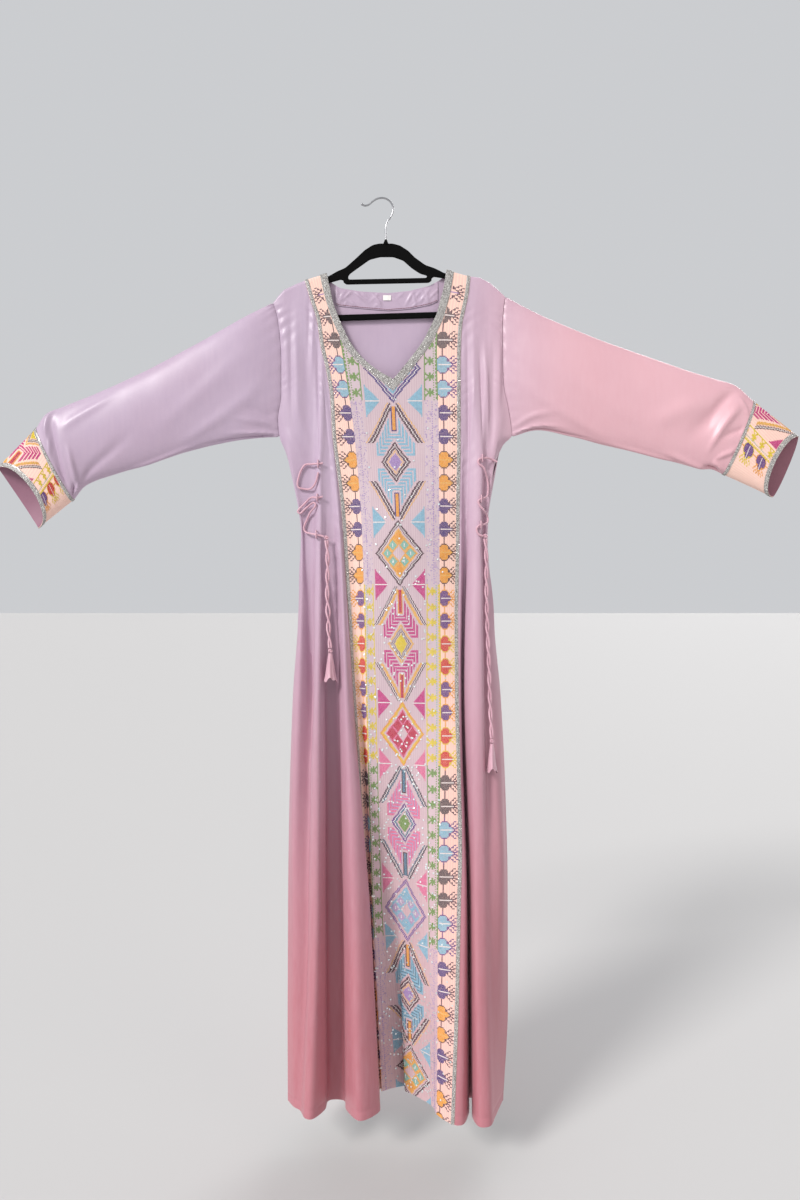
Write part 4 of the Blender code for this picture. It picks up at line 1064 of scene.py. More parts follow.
FLOSS = {
    "g": ("slate", (74, 72, 80)), "b": ("light blue", (134, 192, 214)), "i": ("indigo", (58, 50, 128)),
    "o": ("orange", (240, 164, 40)), "p": ("purple", (98, 60, 138)), "r": ("red", (216, 54, 42)),
    "y": ("yellow", (232, 208, 30)), "m": ("magenta", (206, 50, 134)), "k": ("pink", (232, 120, 160)),
    "c": ("crimson", (198, 26, 66)), "t": ("teal", (60, 124, 148)), "e": ("green", (112, 156, 70)),
    "l": ("lilac", (166, 138, 196)), "n": ("brown", (62, 36, 44)), "w": ("white", (238, 230, 228)),
    "s": ("plum", (66, 34, 66)), "a": ("aqua", (132, 196, 178)), "h": ("amber", (238, 184, 84)),
    "q": ("pale lilac", (186, 162, 200)),
}

# Upper half of one border motif, from its inner lobe out to its feelers. Letters: m body, w mid line,
# t feeler, s stem. The lower half mirrors all but its first row.
BEETLE_HALF = (
    "....s............",
    "....s............",
    "....s............",
    "....s.......tt...",
    "..mmmmm....t.....",
    ".mmmmmmm..tt..tt.",
    "mmmmmmmm.t...t...",
    "mmmmmmmmtt..tt...",
    "mmmmmmmmmm.t..tt.",
    "mmmmmmmmmmmtttt..",
)
BEETLE = BEETLE_HALF + ("mwwwwwwwwwwwt....",) + BEETLE_HALF[:0:-1]
# Shades of body, mid line, feeler, stem and outline of the border motifs from the shoulder down. All
# but the first come twice. A dot is bare ground.
BEETLE_SHADES = (
    ".lsss", "gwss.", "bwpsp", "iwss.", "ohnnn", "iwss.", "ohnnn", "pwooo", "rwyoy", "pwooo", "rwyoy",
    "gwss.", "bwppp", "gwss.", "bwppp", "iwss.", "ohssn", "iwss.", "ohssn",
)
# The small motif of the narrow bands
LEAF = ("e..ee...", "ee.ee.e.", ".eeeeee.", "..eeeeee", ".eeeeee.", "ee.ee.e.", "e..ee...")
LEAF_PITCH = PERIOD / 12
# Narrow band at each turn of the pattern: motif, edge line, inner line
BAND_SHADES = ("eee", ".ql", "yya", "eee", ".ql")
# Small diamonds: the rings from the edge inwards, the fill, the stepped body and its gaps, the bar and
# its edge, and the lines of an arm from its outer side inwards. A dot is bare ground.
SMALL = (
    ("nnwnn.h.", "l", "b", ".", "o", "i", "h.nnwnn"), ("hh.nwn.", "y", "m", ".", "c", "o", "nwn.hhh"),
    ("ppwtt..", "e", "k", "q", "t", "n", "ggwgt"), ("nnwnn.h.", "l", "b", "t", "o", "n", "h.nnwnn"),
)
# Large diamonds: the rings, the fill, the squares and the lines in it, and the side triangles above and
# below it
LARGE = (
    ("iiwii.", "b", None, None, "b", "b"), ("nnwn..", "o", "a", "h", "b", "m"),
    ("ooyh..", "c", None, "k", "m", "k"), ("pqp...", "b", "q", None, "k", "b"),
    ("nnwn..", "o", "a", "h", "b", "b"),
)
# Sizes in stitches: half width and half height of the diamonds, then a side triangle's inner and outer
# reach, its half height and how far its middle lies above the diamond's
LARGE_DIAMOND = (24, 28)
SMALL_DIAMOND = (14, 17)
SIDE_TRIANGLE = (13, 25, 13, 27)
# From the middle of a small diamond: its body's half width and heights, the bar's and the arms' heights
BODY_HALF, BODY_FOOT, BODY_TOP = 18, 6, 37
BAR_FOOT, BAR_TOP = 28, 47
ARM_FOOT, ARM_TOP = 17, 50


def chart_panel():
    """Letters of the stitches, a row for each row of the chart and a column for each across it."""
    across, down = np.meshgrid(np.arange(-CHART_HALF, CHART_HALF + 1), np.arange(CHART_ROWS))
    chart = np.full(across.shape, ".", dtype="<U1")
    for number, shades in enumerate(LARGE):
        large_diamond(chart, across, down - (FIRST_SMALL - PERIOD // 2 + number * PERIOD), shades)
    for number, shades in enumerate(SMALL):
        small_diamond(chart, across, down - (FIRST_SMALL + number * PERIOD), shades)
    narrow_bands(chart)
    borders(chart)
    return chart


def ring_lines(chart, inside, depth, letters):
    """Lines of one stitch each, from the edge of a form inwards."""
    for line, letter in enumerate(letters):
        chart[inside & (depth == line)] = letter


def large_diamond(chart, dx, dy, shades):
    """Rings round a diamond of three by three fields, whose middle stays bare, and side triangles."""
    rings, fill, square, line, above, below = shades
    wide, tall = LARGE_DIAMOND
    core = wide - len(rings)
    edge = np.round(wide * (1 - abs(dy) / tall)).astype(int)
    inside = (abs(dy) <= tall) & (abs(dx) <= edge)
    p, q = dx / core + dy * wide / tall / core, dx / core - dy * wide / tall / core
    a, b = np.round(p * 1.5), np.round(q * 1.5)
    u, v = abs(p - a / 1.5), abs(q - b / 1.5)
    filled = inside & (edge - abs(dx) >= len(rings)) & ((a != 0) | (b != 0))
    chart[filled] = fill
    if line:
        chart[filled & (np.maximum(u, v) > 0.29)] = line
    if square:
        squares = filled & (a * b != -1) & (np.maximum(u, v) < 0.23)
        chart[squares] = square
        chart[squares & (u + v < 0.1)] = "w"
    ring_lines(chart, inside, edge - abs(dx), rings)
    side_triangle(chart, abs(dx), dy + SIDE_TRIANGLE[3], above)
    side_triangle(chart, abs(dx), dy - SIDE_TRIANGLE[3], below)


def side_triangle(chart, across, dy, shade):
    inner, outer, half = SIDE_TRIANGLE[:3]
    filled = (across >= inner) & (across <= outer) & (abs(dy) <= half * (across - inner) / (outer - inner))
    chart[filled] = shade
    chart[filled & (dy == 0)] = "w"


def small_diamond(chart, dx, dy, shades):
    """A small diamond with a stepped body, a bar and a pair of arms above it and below it."""
    rings, fill, body_shade, gap, bar, bar_edge, arm_letters = shades
    a, d = abs(dx), abs(dy)
    out = BODY_HALF - a
    body = (a <= BODY_HALF) & (d >= BODY_FOOT) & (d <= np.minimum(16 + out * 18 / 11, BODY_TOP))
    body &= (a / 16.5 + d / 20.5 >= 1) & ((a > 3) | (d < BAR_FOOT - 3))
    stripe = np.where(d - BODY_FOOT > 1.4 * out, out % 3, (d - BODY_FOOT) % 3)
    chart[body] = body_shade
    chart[body & (stripe == 2)] = gap
    wide, tall = SMALL_DIAMOND
    edge = np.round(wide * (1 - d / tall)).astype(int)
    inside = (d <= tall) & (a <= edge)
    chart[inside] = fill
    ring_lines(chart, inside, edge - a, rings)
    chart[(a <= 2) & (d >= BAR_FOOT - 1) & (d <= BAR_TOP)] = bar_edge
    chart[(a <= 1) & (d >= BAR_FOOT) & (d <= BAR_TOP)] = bar
    slope = np.round(20 * (ARM_TOP - 1 - d) / 31).astype(int)
    arms = (d >= ARM_FOOT) & (d <= ARM_TOP) & (a > 2)
    for step, letter in enumerate(arm_letters):
        if letter != ".":
            chart[arms & (a == slope + 6 - step)] = letter


def narrow_bands(chart):
    """Edge lines and small leaves between the field and the borders, in another shade at each turn."""
    speckled = np.random.default_rng(6).uniform(size=chart.shape) < BAND_SPECKS
    leaves = np.array([list(text) for text in LEAF]) != "."
    for row in range(CHART_ROWS):
        turn = min(max((row - FIRST_TURN) // PERIOD + 1, 0), len(BAND_SHADES) - 1)
        leaf, line, inner = BAND_SHADES[turn]
        place = int((row - FIRST_TURN) % PERIOD % LEAF_PITCH) - 3
        for side in (-1, 1):
            near = CHART_HALF + side * (FIELD_HALF + 1)
            band, specks = chart[row, near::side][:BAND], speckled[row, near::side][:BAND]
            if leaf == ".":
                band[6] = inner if row % 2 else "."
                band[specks] = line
                continue
            band[[0, -1]] = line
            band[-2] = line if row % 3 else "."
            band[-4] = inner if row % 2 else "."
            if 0 <= place < len(LEAF):
                band[1:9][leaves[place]] = leaf


def borders(chart):
    """The border motifs on their stem, the left border in mirror image."""
    marks = np.array([list(text) for text in BEETLE])
    near = np.pad(np.isin(marks, ("m", "w")), 1)
    beside = near[:-2, 1:-1] | near[2:, 1:-1] | near[1:-1, :-2] | near[1:-1, 2:]
    first = FIELD_HALF + BAND + 1
    twice = [shades for shades in BEETLE_SHADES[1:] for _ in range(2)]
    for number, shades in enumerate([BEETLE_SHADES[0]] + twice):
        letters = dict(zip("mwts.", shades))
        top = FIRST_BEETLE + number * BEETLE_PITCH - len(BEETLE) // 2
        for r, c in np.argwhere((marks != ".") | beside):
            letter = letters[marks[r, c]]
            if letter != "." and top + r < CHART_ROWS:
                chart[top + r, [CHART_HALF - first - c, CHART_HALF + first + c]] = letter


def chart_lines(across):
    """Line numbers of the front for distances from the panel's middle."""
    return np.interp(across, PANEL_ACROSS, np.arange(PANEL_START, PANEL_END + 1))


def drop_at(rows):
    """Levels on the cloth of rows of the chart."""
    return eased(-column(DROP, 0), column(DROP, 1), -np.asarray(rows, float))


def panel_lattice(rows, across):
    """Points of the panel's middle surface at chart rows and at distances across."""
    levels = drop_at(rows)
    places = np.tile(chart_lines(across), (len(levels), 1))
    return layer("front", levels, places), levels


def panel_relief(grid):
    """Slight unevenness of the embroidered panel, which grows towards the hem."""
    low = smooth((WAIST - grid[..., 2]) / (WAIST - HEM))
    return ripple(flat_places(grid), *RIPPLES["panel"]) * (0.4 + low)


# A cross stitch: points round its cell and its middle, as shares across and down and a height above it
STITCH = (
    (0, 0, 0.12), (0.5, 0.12, 0.1), (1, 0, 0.12), (0.88, 0.5, 0.1), (1, 1, 0.12), (0.5, 0.88, 0.1),
    (0, 1, 0.12), (0.12, 0.5, 0.1), (0.5, 0.5, 0.6),
)
STITCH_FACES = np.array([((i + 1) % 8, i, 8) for i in range(8)])


def stitch_letters(name, chart, corners, normals, materials):
    """One piece of cross stitches for each shade of floss. Each stitch is a small four-armed star."""
    pieces = []
    rows, wide = chart.shape
    for letter, material in materials.items():
        r, c = np.nonzero(chart == letter)
        if len(r) == 0:
            continue
        points, layout = [], []
        for across, down, rise in STITCH:
            a = between(corners[r, c], corners[r, c + 1], across)
            b = between(corners[r + 1, c], corners[r + 1, c + 1], across)
            points.append(between(a, b, down) + normals[r, c] * rise)
            layout.append(np.column_stack([(c + across) / wide, 1 - (r + down) / rows]))
        points, layout = np.stack(points, 1).reshape(-1, 3), np.stack(layout, 1).reshape(-1, 2)
        faces = (np.arange(len(r)) * len(STITCH))[:, None, None] + STITCH_FACES
        label = f"{name}_{FLOSS[letter][0].replace(' ', '_')}"
        pieces.append(new_object(label, make_mesh(label, points, faces.reshape(-1, 3), layout), material))
    return pieces


# The garment

def neck_edge(table, edge, levels):
    """x of the inner or the outer edge of one side of the neck band, at levels."""
    x, level = (0, 1) if edge == "inner" else (2, 3)
    return eased(column(table, level), column(table, x), levels)


def panel_half(edge, neck):
    """One half of the centre panel, from its outer edge to the middle or to the V neck."""
    inward = 1 if edge == PANEL_START else -1
    fine = np.linspace(edge, PANEL_MIDDLE, 200)
    cloth_rows = whole_rows("front", LEVELS, fine)
    places = []
    for level, row, reach in zip(LEVELS, cloth_rows, neck_edge(neck, "inner", LEVELS)):
        run = run_along(row)
        end = run[-1] if level <= NECK_TIP else np.interp(inward * reach, inward * row[:, 0], run)
        places.append(np.interp(np.linspace(SEAM / 2, end, PANEL_HALF_COLUMNS + 1), run, fine))
    places = np.array(places)[:, ::inward]
    across = np.interp(places, np.arange(PANEL_START, PANEL_END + 1), PANEL_ACROSS)
    return layer("front", LEVELS, places), across


def centre_panel(ground, shaded_wrong_side):
    """The panel as one cloth. Above the tip of the V its two halves have an open strip between them."""
    left, left_across = panel_half(PANEL_START, NECK_LEFT)
    right, right_across = panel_half(PANEL_END, NECK_RIGHT)
    grid = np.concatenate([left, right], axis=1)
    across = np.concatenate([left_across, right_across], axis=1)
    grid = lifted(grid, panel_relief(grid))
    rows, wide = grid.shape[:2]
    seam = left.shape[1] - 1
    grid[NECK_ROWS:, seam + 1] = grid[NECK_ROWS:, seam]
    same = np.arange(rows * wide).reshape(rows, wide)
    same[NECK_ROWS:, seam + 1] = same[NECK_ROWS:, seam]
    skip = np.zeros((rows - 1, wide - 1), bool)
    skip[:, seam] = True
    weave = np.stack([across, np.tile(LEVELS[:, None], (1, wide))], -1)
    return cloth(
        "centre_panel_cloth", grid, SHOWN_SATIN, (ground, shaded_wrong_side), weave=weave, skip=skip,
        same=same.ravel())


def stitched(rise):
    """How far above a cloth's middle its stitches start."""
    return SHOWN_SATIN / 2 + rise


def panel_stitches(materials):
    """The cross stitches of the panel, which end just under the band of the V neck."""
    chart = chart_panel()
    rows, wide = chart.shape
    across = (np.arange(wide + 1) - wide / 2) * CELL
    corners, levels = panel_lattice(np.arange(rows + 1), across)
    band_tip = NECK_LEFT[-1][3]
    for number, level in enumerate((levels[:-1] + levels[1:]) / 2):
        if level > band_tip:
            xs = (corners[number, :-1, 0] + corners[number, 1:, 0]) / 2
            low, high = (neck_edge(table, "outer", level) for table in (NECK_LEFT, NECK_RIGHT))
            chart[number, (xs > low - UNDER_BAND) & (xs < high + UNDER_BAND)] = "."
    normals = normals_of(corners)
    corners = corners + (panel_relief(corners) + stitched(0))[..., None] * normals
    return stitch_letters("panel_stitches", chart, corners, normals, materials)


def side_piece(name, grid, creases, ripples, side_edge, materials):
    """One satin side of the front. side_edge is the column at the garment's side, 0 or -1."""
    relief = ridges(flat_places(grid), creases) * clear_of_laces(grid)
    relief += gathers(grid, side_edge, *OUTER_GATHERS) + gathers(grid, -1 - side_edge, *INNER_GATHERS)
    relief += ripple(flat_places(grid), *ripples) * calm_at_seams(grid.shape)
    relief += hem_groove(grid[..., 2])
    return cloth(name, lifted(grid, relief), SHOWN_SATIN, materials)


def side_pieces(materials):
    left = layer("front", LEVELS, columns("front", 0, PANEL_START, LEFT_COLUMNS))
    right = layer("front", LEVELS, columns("front", PANEL_END, LAST_LINE, RIGHT_COLUMNS))
    return [
        side_piece("front_side_left_cloth", left, LEFT_CREASES, RIPPLES["left side"], 0, materials),
        side_piece("front_side_right_cloth", right, RIGHT_CREASES, RIPPLES["right side"], -1, materials),
    ]


def calm_at_seams(shape):
    """A share that falls to nothing at the first and the last column, where pieces meet."""
    spot = np.arange(shape[1])
    near = np.minimum(spot, shape[1] - 1 - spot) / 3
    return np.tile(smooth(near), (shape[0], 1))


def clear_of_laces(grid):
    """A share that is low where the lacing lies on the cloth."""
    middle, reach, foot, top, calmed = 15, 82, -612, -445, 0.75
    x, z = grid[..., 0], grid[..., 2]
    beside = smooth((abs(x - middle) - reach) / 8)
    tall = smooth((z - foot) / 12) * smooth((top - z) / 12)
    return 1 - calmed * beside * tall


def back_columns():
    """Columns of the back, which stand close together where the neck meets the shoulders."""
    last = len(BACK_FOLDS) + 1
    fine = np.linspace(0, last, 12 * last + 1)
    across = whole_rows("back", LEVELS, fine)[..., 0]
    left, right = BACK_NECK[0][0], BACK_NECK[-1][0]
    outer, middle, far = BACK_COLUMNS
    low = evenly("back", 0, last, sum(BACK_COLUMNS) + 2, np.array([KNEE]))[0]
    places = []
    for level, row in zip(LEVELS, across):
        xs = np.concatenate([
            np.linspace(row[0], left - NECK_TURN, outer + 1),
            np.linspace(left + NECK_TURN, right - NECK_TURN, middle + 1),
            np.linspace(right + NECK_TURN, row[-1], far + 1),
        ])
        hang = smooth((YOKE - level) / (YOKE - WAIST))
        places.append((1 - hang) * np.interp(xs, row, fine) + hang * low)
    return np.array(places)


def back_grid():
    """The back's middle surface. Its top edge is cut down to the back neck between the shoulders."""
    neck_x, neck_z = column(BACK_NECK, 0), column(BACK_NECK, 1)
    grid = layer("back", LEVELS, back_columns())
    x = grid[..., 0]
    share = (LEVELS[:, None] - YOKE) / (TOP - YOKE)
    cut = (share > 0) & (x > neck_x[0]) & (x < neck_x[-1])
    lower = YOKE + share * (np.interp(x, neck_x, neck_z) - YOKE)
    grid[..., 2] = np.where(cut, lower, grid[..., 2])
    grid[..., 1] = np.where(cut, np.maximum(grid[..., 1], BACK_DEPTH), grid[..., 1])
    return grid


def depth_on(grid, x, z):
    """How deep a piece's surface lies at an x and a height."""
    depths = [np.interp(x, row[:, 0], row[:, 1]) for row in grid]
    heights = [np.interp(x, row[:, 0], row[:, 2]) for row in grid]
    return np.interp(z, heights[::-1], depths[::-1])


def facing_wrinkles(facing):
    """Uneven slanting wrinkles of the gathered neck facing."""
    chance = np.random.default_rng(12)
    x, z = facing[..., 0], facing[..., 2]
    total = np.zeros(x.shape)
    for _ in range(WRINKLE_COUNT):
        at, middle, lean, wide, tall = [chance.uniform(*limits) for limits in WRINKLE_RANGES]
        off = (x - at - lean * (z - middle)) / wide
        along = (z - middle) / WRINKLE_HALF_LENGTH
        total = np.maximum(total, tall * np.exp(-off ** 2) * np.exp(-along ** 2))
    return total


def back_piece(plain, satin):
    """The back with its soft creases, which stay clear of the neck and the seams."""
    relief = ridges(flat_places(plain), BACK_CREASES) - ripple(flat_places(plain), *RIPPLES["back"])
    relief = relief * calm_at_seams(plain.shape) * smooth((YOKE - plain[..., 2]) / 60)
    return cloth("back_cloth", lifted(plain, -relief - hem_groove(plain[..., 2])), SHOWN_SATIN, (satin,))


def neck_facing(back, satin, thread):
    """The gathered facing inside the back neck, and the stitches along its lower edge."""
    neck_x, neck_z = column(BACK_NECK, 0), column(BACK_NECK, 1)
    xs = np.linspace(neck_x[0] + FACING_INSET, neck_x[-1] - FACING_INSET, FACING_COLUMNS)
    upper = np.interp(xs, neck_x, neck_z) - FACING_DROP
    lower = np.interp(xs, neck_x, column(BACK_NECK, 2))
    shares = np.linspace(0, 1, FACING_ROWS)
    facing = np.array([
        [(x, depth_on(back, x, z) - FACING_CLEAR, z) for x, z in zip(xs, between(upper, lower, share))]
        for share in shares
    ])
    wrinkles = facing_wrinkles(facing) * smooth((abs(facing[..., 0] - LABEL_AT[0]) - 6) / 7)
    wrinkles *= smooth(shares * 5)[:, None] * smooth((1 - shares) * 6)[:, None]
    facing = lifted(facing, wrinkles)
    made = cloth("back_neck_facing_cloth", facing, SHOWN_TRIM, (satin,))
    edge = routed(facing[-2] + np.array([0, -SHOWN_TRIM / 2 - 0.12, 0]), 1.1)
    pitch, length, radius = FACING_STITCHES
    return made, running_stitches("facing_stitches", edge, pitch, length, radius, thread)


def neck_label(back, tape):
    """The small blank label on the facing, slightly bowed."""
    (x, middle), (wide, tall) = LABEL_AT, LABEL_SIZE
    y = depth_on(back, x, middle) - FACING_CLEAR - TRIM - GAP - 0.1
    grid = np.array([
        [(x + a * wide / 2, y - LABEL_BOW * math.cos(a * 2.2), middle + b * tall / 2)
         for a in np.linspace(-1, 1, 13)]
        for b in np.linspace(1, -1, 7)
    ])
    return cloth("neck_label_tape", grid, LABEL_THICKNESS, (tape,))


def routed(points, spacing):
    """A smooth route through given points, with a point at every `spacing`."""
    points = np.asarray(points, float)
    fine = curve_through(points, np.linspace(0, len(points) - 1, 20 * len(points)))
    run = run_along(fine)
    want = np.linspace(0, run[-1], max(int(round(run[-1] / spacing)), 2) + 1)
    return np.column_stack([np.interp(want, run, fine[:, i]) for i in range(3)])


def rings_along(points, radii, sides):
    """Rings round a route, carried along it without twist."""
    points = np.asarray(points, float)
    ahead = unit(np.gradient(points, axis=0))
    side = np.cross(ahead[0], (0.31, 0.2, 0.93))
    turn = np.linspace(0, 2 * math.pi, sides, endpoint=False)
    rings = []
    for point, way, radius in zip(points, ahead, np.broadcast_to(radii, len(points))):
        side = unit(side - way * (side @ way))
        other = np.cross(way, side)
        rings.append(point + radius * (np.outer(np.cos(turn), side) + np.outer(np.sin(turn), other)))
    return np.array(rings)


def tube_parts(points, radii, sides, start):
    """Points and triangles of a closed round tube."""
    rings = rings_along(points, radii, sides)
    quads = grid_quads(len(rings), sides, True)[:, ::-1]
    spots = np.concatenate([rings.reshape(-1, 3), [points[0]], [points[-1]]])
    around = np.arange(sides)
    ahead, last, tip = (around + 1) % sides, (len(rings) - 1) * sides, len(rings) * sides
    first_cap = np.column_stack([around, ahead, np.full(sides, tip)])
    last_cap = np.column_stack([last + ahead, last + around, np.full(sides, tip + 1)])
    faces = np.concatenate([quads[:, (0, 1, 2)], quads[:, (0, 2, 3)], first_cap, last_cap])
    return spots, faces + start


def tubes(name, routes, radii, sides, material):
    """One mesh of several closed tubes."""
    points, faces, start = [], [], 0
    for route, radius in zip(routes, radii):
        spots, walls = tube_parts(route, radius, sides, start)
        points.append(spots)
        faces.append(walls)
        start += len(spots)
    mesh = make_mesh(name, np.concatenate(points), np.concatenate(faces))
    return new_object(name, mesh, material)


def running_stitches(name, route, pitch, length, radius, material):
    """A row of short raised threads along a route."""
    run = run_along(route)
    routes = []
    for start in np.arange(pitch / 2, run[-1] - length, pitch):
        at = start + length * np.array([0, 0.25, 0.5, 0.75, 1])
        routes.append(np.column_stack([np.interp(at, run, route[:, i]) for i in range(3)]))
    return tubes(name, routes, [radius * np.array([0.5, 1, 1, 1, 0.5])] * len(routes), 5, material)


# Glitter braids

def braid_wall(name, grid, silver, seed, closed=False, outward=1):
    """A glitter braid: a strip with a rounded section and a rough face."""
    dome = BRAID_DOME * (1 - np.linspace(-1, 1, grid.shape[0 if closed else 1]) ** 2)
    rough = np.random.default_rng(seed).uniform(-BRAID_ROUGHNESS, BRAID_ROUGHNESS, grid.shape[:2])
    relief = (dome[:, None] if closed else dome[None]) + rough
    return cloth(name, lifted(grid, outward * relief, closed), SHOWN_TRIM, (silver,), closed, outward)


def trims(silver, flakes):
    """Glitter braid on both long edges of the panel, and the band round the V neck."""
    levels = np.concatenate([np.arange(TOP - 0.4, HEM, -BRAID_ROW_STEP), [HEM]])
    reach = BRAID_INSET + np.linspace(0, BRAID_WIDTH, BRAID_COLUMNS)
    made = []
    for side, edge, inward in (("left", PANEL_START, 1), ("right", PANEL_END, -1)):
        fine = np.linspace(edge, edge + inward, 40)
        rows = whole_rows("front", levels, fine)
        places = np.array([np.interp(reach, run_along(row), fine) for row in rows])[:, ::inward]
        grid = layer("front", levels, places)
        grid = lifted(grid, panel_relief(grid) + BRAID_LIFT)
        made.append(braid_wall(f"panel_braid_{side}_strip", grid, silver, 11 + edge))
        made.append(glitter_flakes(f"panel_braid_{side}_flakes", grid, "panel", 21 + edge, flakes))
    rows = neck_rows(NECK_LEFT) + neck_rows(NECK_RIGHT)[-2::-1]
    shares = np.linspace(0, 1, BRAID_COLUMNS + 1)
    grid = np.array([[between(outer, inner, share) for share in shares] for inner, outer in rows])
    grid = lifted(grid, panel_relief(grid) + BRAID_LIFT + 0.1)
    made.append(braid_wall("neck_band_strip", grid, silver, 31))
    made.append(glitter_flakes("neck_band_flakes", grid, "neck", 32, flakes))
    return made


def neck_rows(table):
    """Points on the inner and the outer edge of one side of the neck band, from shoulder to tip."""
    levels = np.concatenate([
        [TOP, TOP - 0.6, TOP - 1.5, TOP - 3], np.linspace(TOP - 5, NECK_TIP, NECK_BAND_ROWS),
    ])
    share = np.clip((levels - WRAPPED) / (NECK_TIP - WRAPPED), 0, 1)
    lower = levels + (table[-1][3] - NECK_TIP) * share
    inner = front_spot(neck_edge(table, "inner", levels), levels)
    return list(zip(inner, front_spot(neck_edge(table, "outer", lower), lower)))


def glitter_flakes(name, grid, kind, seed, material, closed=False, outward=1):
    """Tiny tilted facets that stand a little above a braid."""
    chance = np.random.default_rng(seed)
    count = FLAKE_COUNTS[kind]
    rows, wide = grid.shape[:2]
    normals = outward * normals_of(grid, closed)
    r = chance.integers(0, rows - 1, count)
    c = chance.integers(0, wide - 1, count)
    a, b = chance.uniform(0, 1, (2, count, 1))
    upper = between(grid[r, c], grid[r, c + 1], a)
    lower = between(grid[r + 1, c], grid[r + 1, c + 1], a)
    middle = between(upper, lower, b) + normals[r, c] * FLAKE_RISES[kind]
    tilt = unit(normals[r, c] + chance.normal(0, FLAKE_TILT, (count, 3)))
    side = unit(np.cross(tilt, chance.normal(0, 1, (count, 3))))
    other = np.cross(tilt, side)
    size = chance.uniform(*FLAKE_SIZES, (count, 1))
    corners = np.stack([middle + size * way for way in (side, other, -side, -other)], 1)
    layout = cell_layout(count, [(0, 0), (0.9, 0), (0.9, 0.9), (0, 0.9)])
    mesh = make_mesh(name, corners.reshape(-1, 3), np.arange(4 * count).reshape(count, 4), layout)
    mesh.shade_flat()
    return new_object(name, mesh, material)


# Sleeves and cuffs

def armhole(side, turn):
    """The sleeve's first ring, just outside the armhole."""
    table, outward = (LEFT_SIDE, -1) if side == "left" else (RIGHT_SIDE, 1)
    levels = TOP - (TOP - UNDERARM) * (1 - np.cos(turn)) / 2
    spot = edge_at(table, levels)
    facing = np.sign(np.round(np.sin(turn), 9))
    depth = spot[:, 1] * over_ridge(levels) * facing
    fall = SATIN * np.clip(-np.cos(turn), 0, 1) ** 12
    return np.column_stack([spot[:, 0] + outward * SEAM * 2, depth, height(levels, spot[:, 0]) - fall])


def ring_of(row, turn, front=(0, 0), rear=(0, 0)):
    """A ring of cloth between a top and a low point. It starts at the top and turns to the front."""
    top, low = np.array(row[:2], float), np.array(row[2:4], float)
    c, s = np.cos(turn)[:, None], np.sin(turn)[:, None]
    ahead = s[:, 0] >= 0
    skew = np.where(ahead[:, None], np.array(front, float), np.array(rear, float))
    flat = (top + low) / 2 + (top - low) / 2 * c + skew * abs(s)
    reach = np.where(ahead, row[5], row[6])
    return np.column_stack([flat[:, 0], row[4] - reach * s[:, 0], flat[:, 1]])


OUTWARD = {"left": 1, "right": -1}
SLEEVES = {"left": LEFT_SLEEVE, "right": RIGHT_SLEEVE}
SLEEVE_CREASES = {"left": LEFT_SLEEVE_CREASES, "right": RIGHT_SLEEVE_CREASES}
SLEEVE_TURN = np.linspace(0, 2 * math.pi, SLEEVE_SIDES, endpoint=False)


def sleeve_piece(side, materials):
    """One satin sleeve with its creases, gathered a little at the armhole."""
    turn = SLEEVE_TURN
    rings = np.array([armhole(side, turn)] + [ring_of(row, turn) for row in SLEEVES[side]])
    at = np.tile(np.linspace(0, len(rings) - 1, SLEEVE_ROWS), (SLEEVE_SIDES, 1))
    grid = np.swapaxes(through(np.swapaxes(rings, 0, 1), at), 0, 1)
    run = np.linspace(0, SLEEVE_RUN, SLEEVE_ROWS)
    around, along = np.meshgrid(np.degrees(turn) * RING_MM_PER_DEGREE, run)
    scale = np.array([SLEEVE_RUN, RING_MM_PER_DEGREE, SLEEVE_RUN, RING_MM_PER_DEGREE, 1, 1])
    relief = ridges(np.stack([along, around], -1), np.array(SLEEVE_CREASES[side]) * scale)
    relief += ripple(flat_places(grid), *RIPPLES["sleeve"])
    relief *= smooth(along / 25) * smooth((SLEEVE_RUN - along) / 12)
    number, tall, reach = ARMHOLE_GATHERS
    gathered = tall * np.sin(number * turn + 2.2 * np.sin(3 * turn))
    relief += gathered * smooth(along / 4) * np.exp(-along / reach)
    relief -= ARMHOLE_GROOVE[0] * np.exp(-(along / ARMHOLE_GROOVE[1]) ** 2)
    grid = lifted(grid, OUTWARD[side] * relief, True)
    return cloth(f"sleeve_{side}_cloth", grid, SHOWN_SATIN, materials, True, OUTWARD[side])


def cuff_ends(side, turns):
    """The seam and the mouth of a cuff at turns round it, and how far apart they are."""
    tx, tz, lx, lz, middle, fx, fz, bx, bz = CUFF_OPENINGS[side]
    seam = ring_of(SLEEVES[side][-1], turns)
    mouth = ring_of((tx, tz, lx, lz, middle, CUFF_REACH, CUFF_REACH), turns, (fx, fz), (bx, bz))
    return seam, mouth, np.linalg.norm(mouth - seam, axis=1)[:, None]


def cuff_wave(degrees, shares):
    """Slight unevenness of a cuff, in rows from its seam to its mouth."""
    around, along = np.meshgrid(degrees * RING_MM_PER_DEGREE, shares * CUFF_WAVE_RUN)
    return ripple(np.stack([around, along], -1), *RIPPLES["cuff"])


def cuff_piece(side, materials):
    """The cotton of one cuff."""
    seam, mouth, length = cuff_ends(side, SLEEVE_TURN)
    start = between(seam, mouth, SEAM * 2 / length)
    shares = np.linspace(0, 1, CUFF_ROWS)
    grid = np.array([between(start, mouth, share) for share in shares])
    degrees = np.degrees(SLEEVE_TURN)
    grid = lifted(grid, OUTWARD[side] * cuff_wave(degrees, shares), True)
    across, down = np.meshgrid(degrees * CUFF_WEAVE_PER_DEGREE + CUFF_WEAVE_START, -shares * CUFF_LENGTH)
    return cloth(
        f"cuff_{side}_cloth", grid, SHOWN_SATIN, materials, True, OUTWARD[side],
        weave=np.stack([across, down], -1))


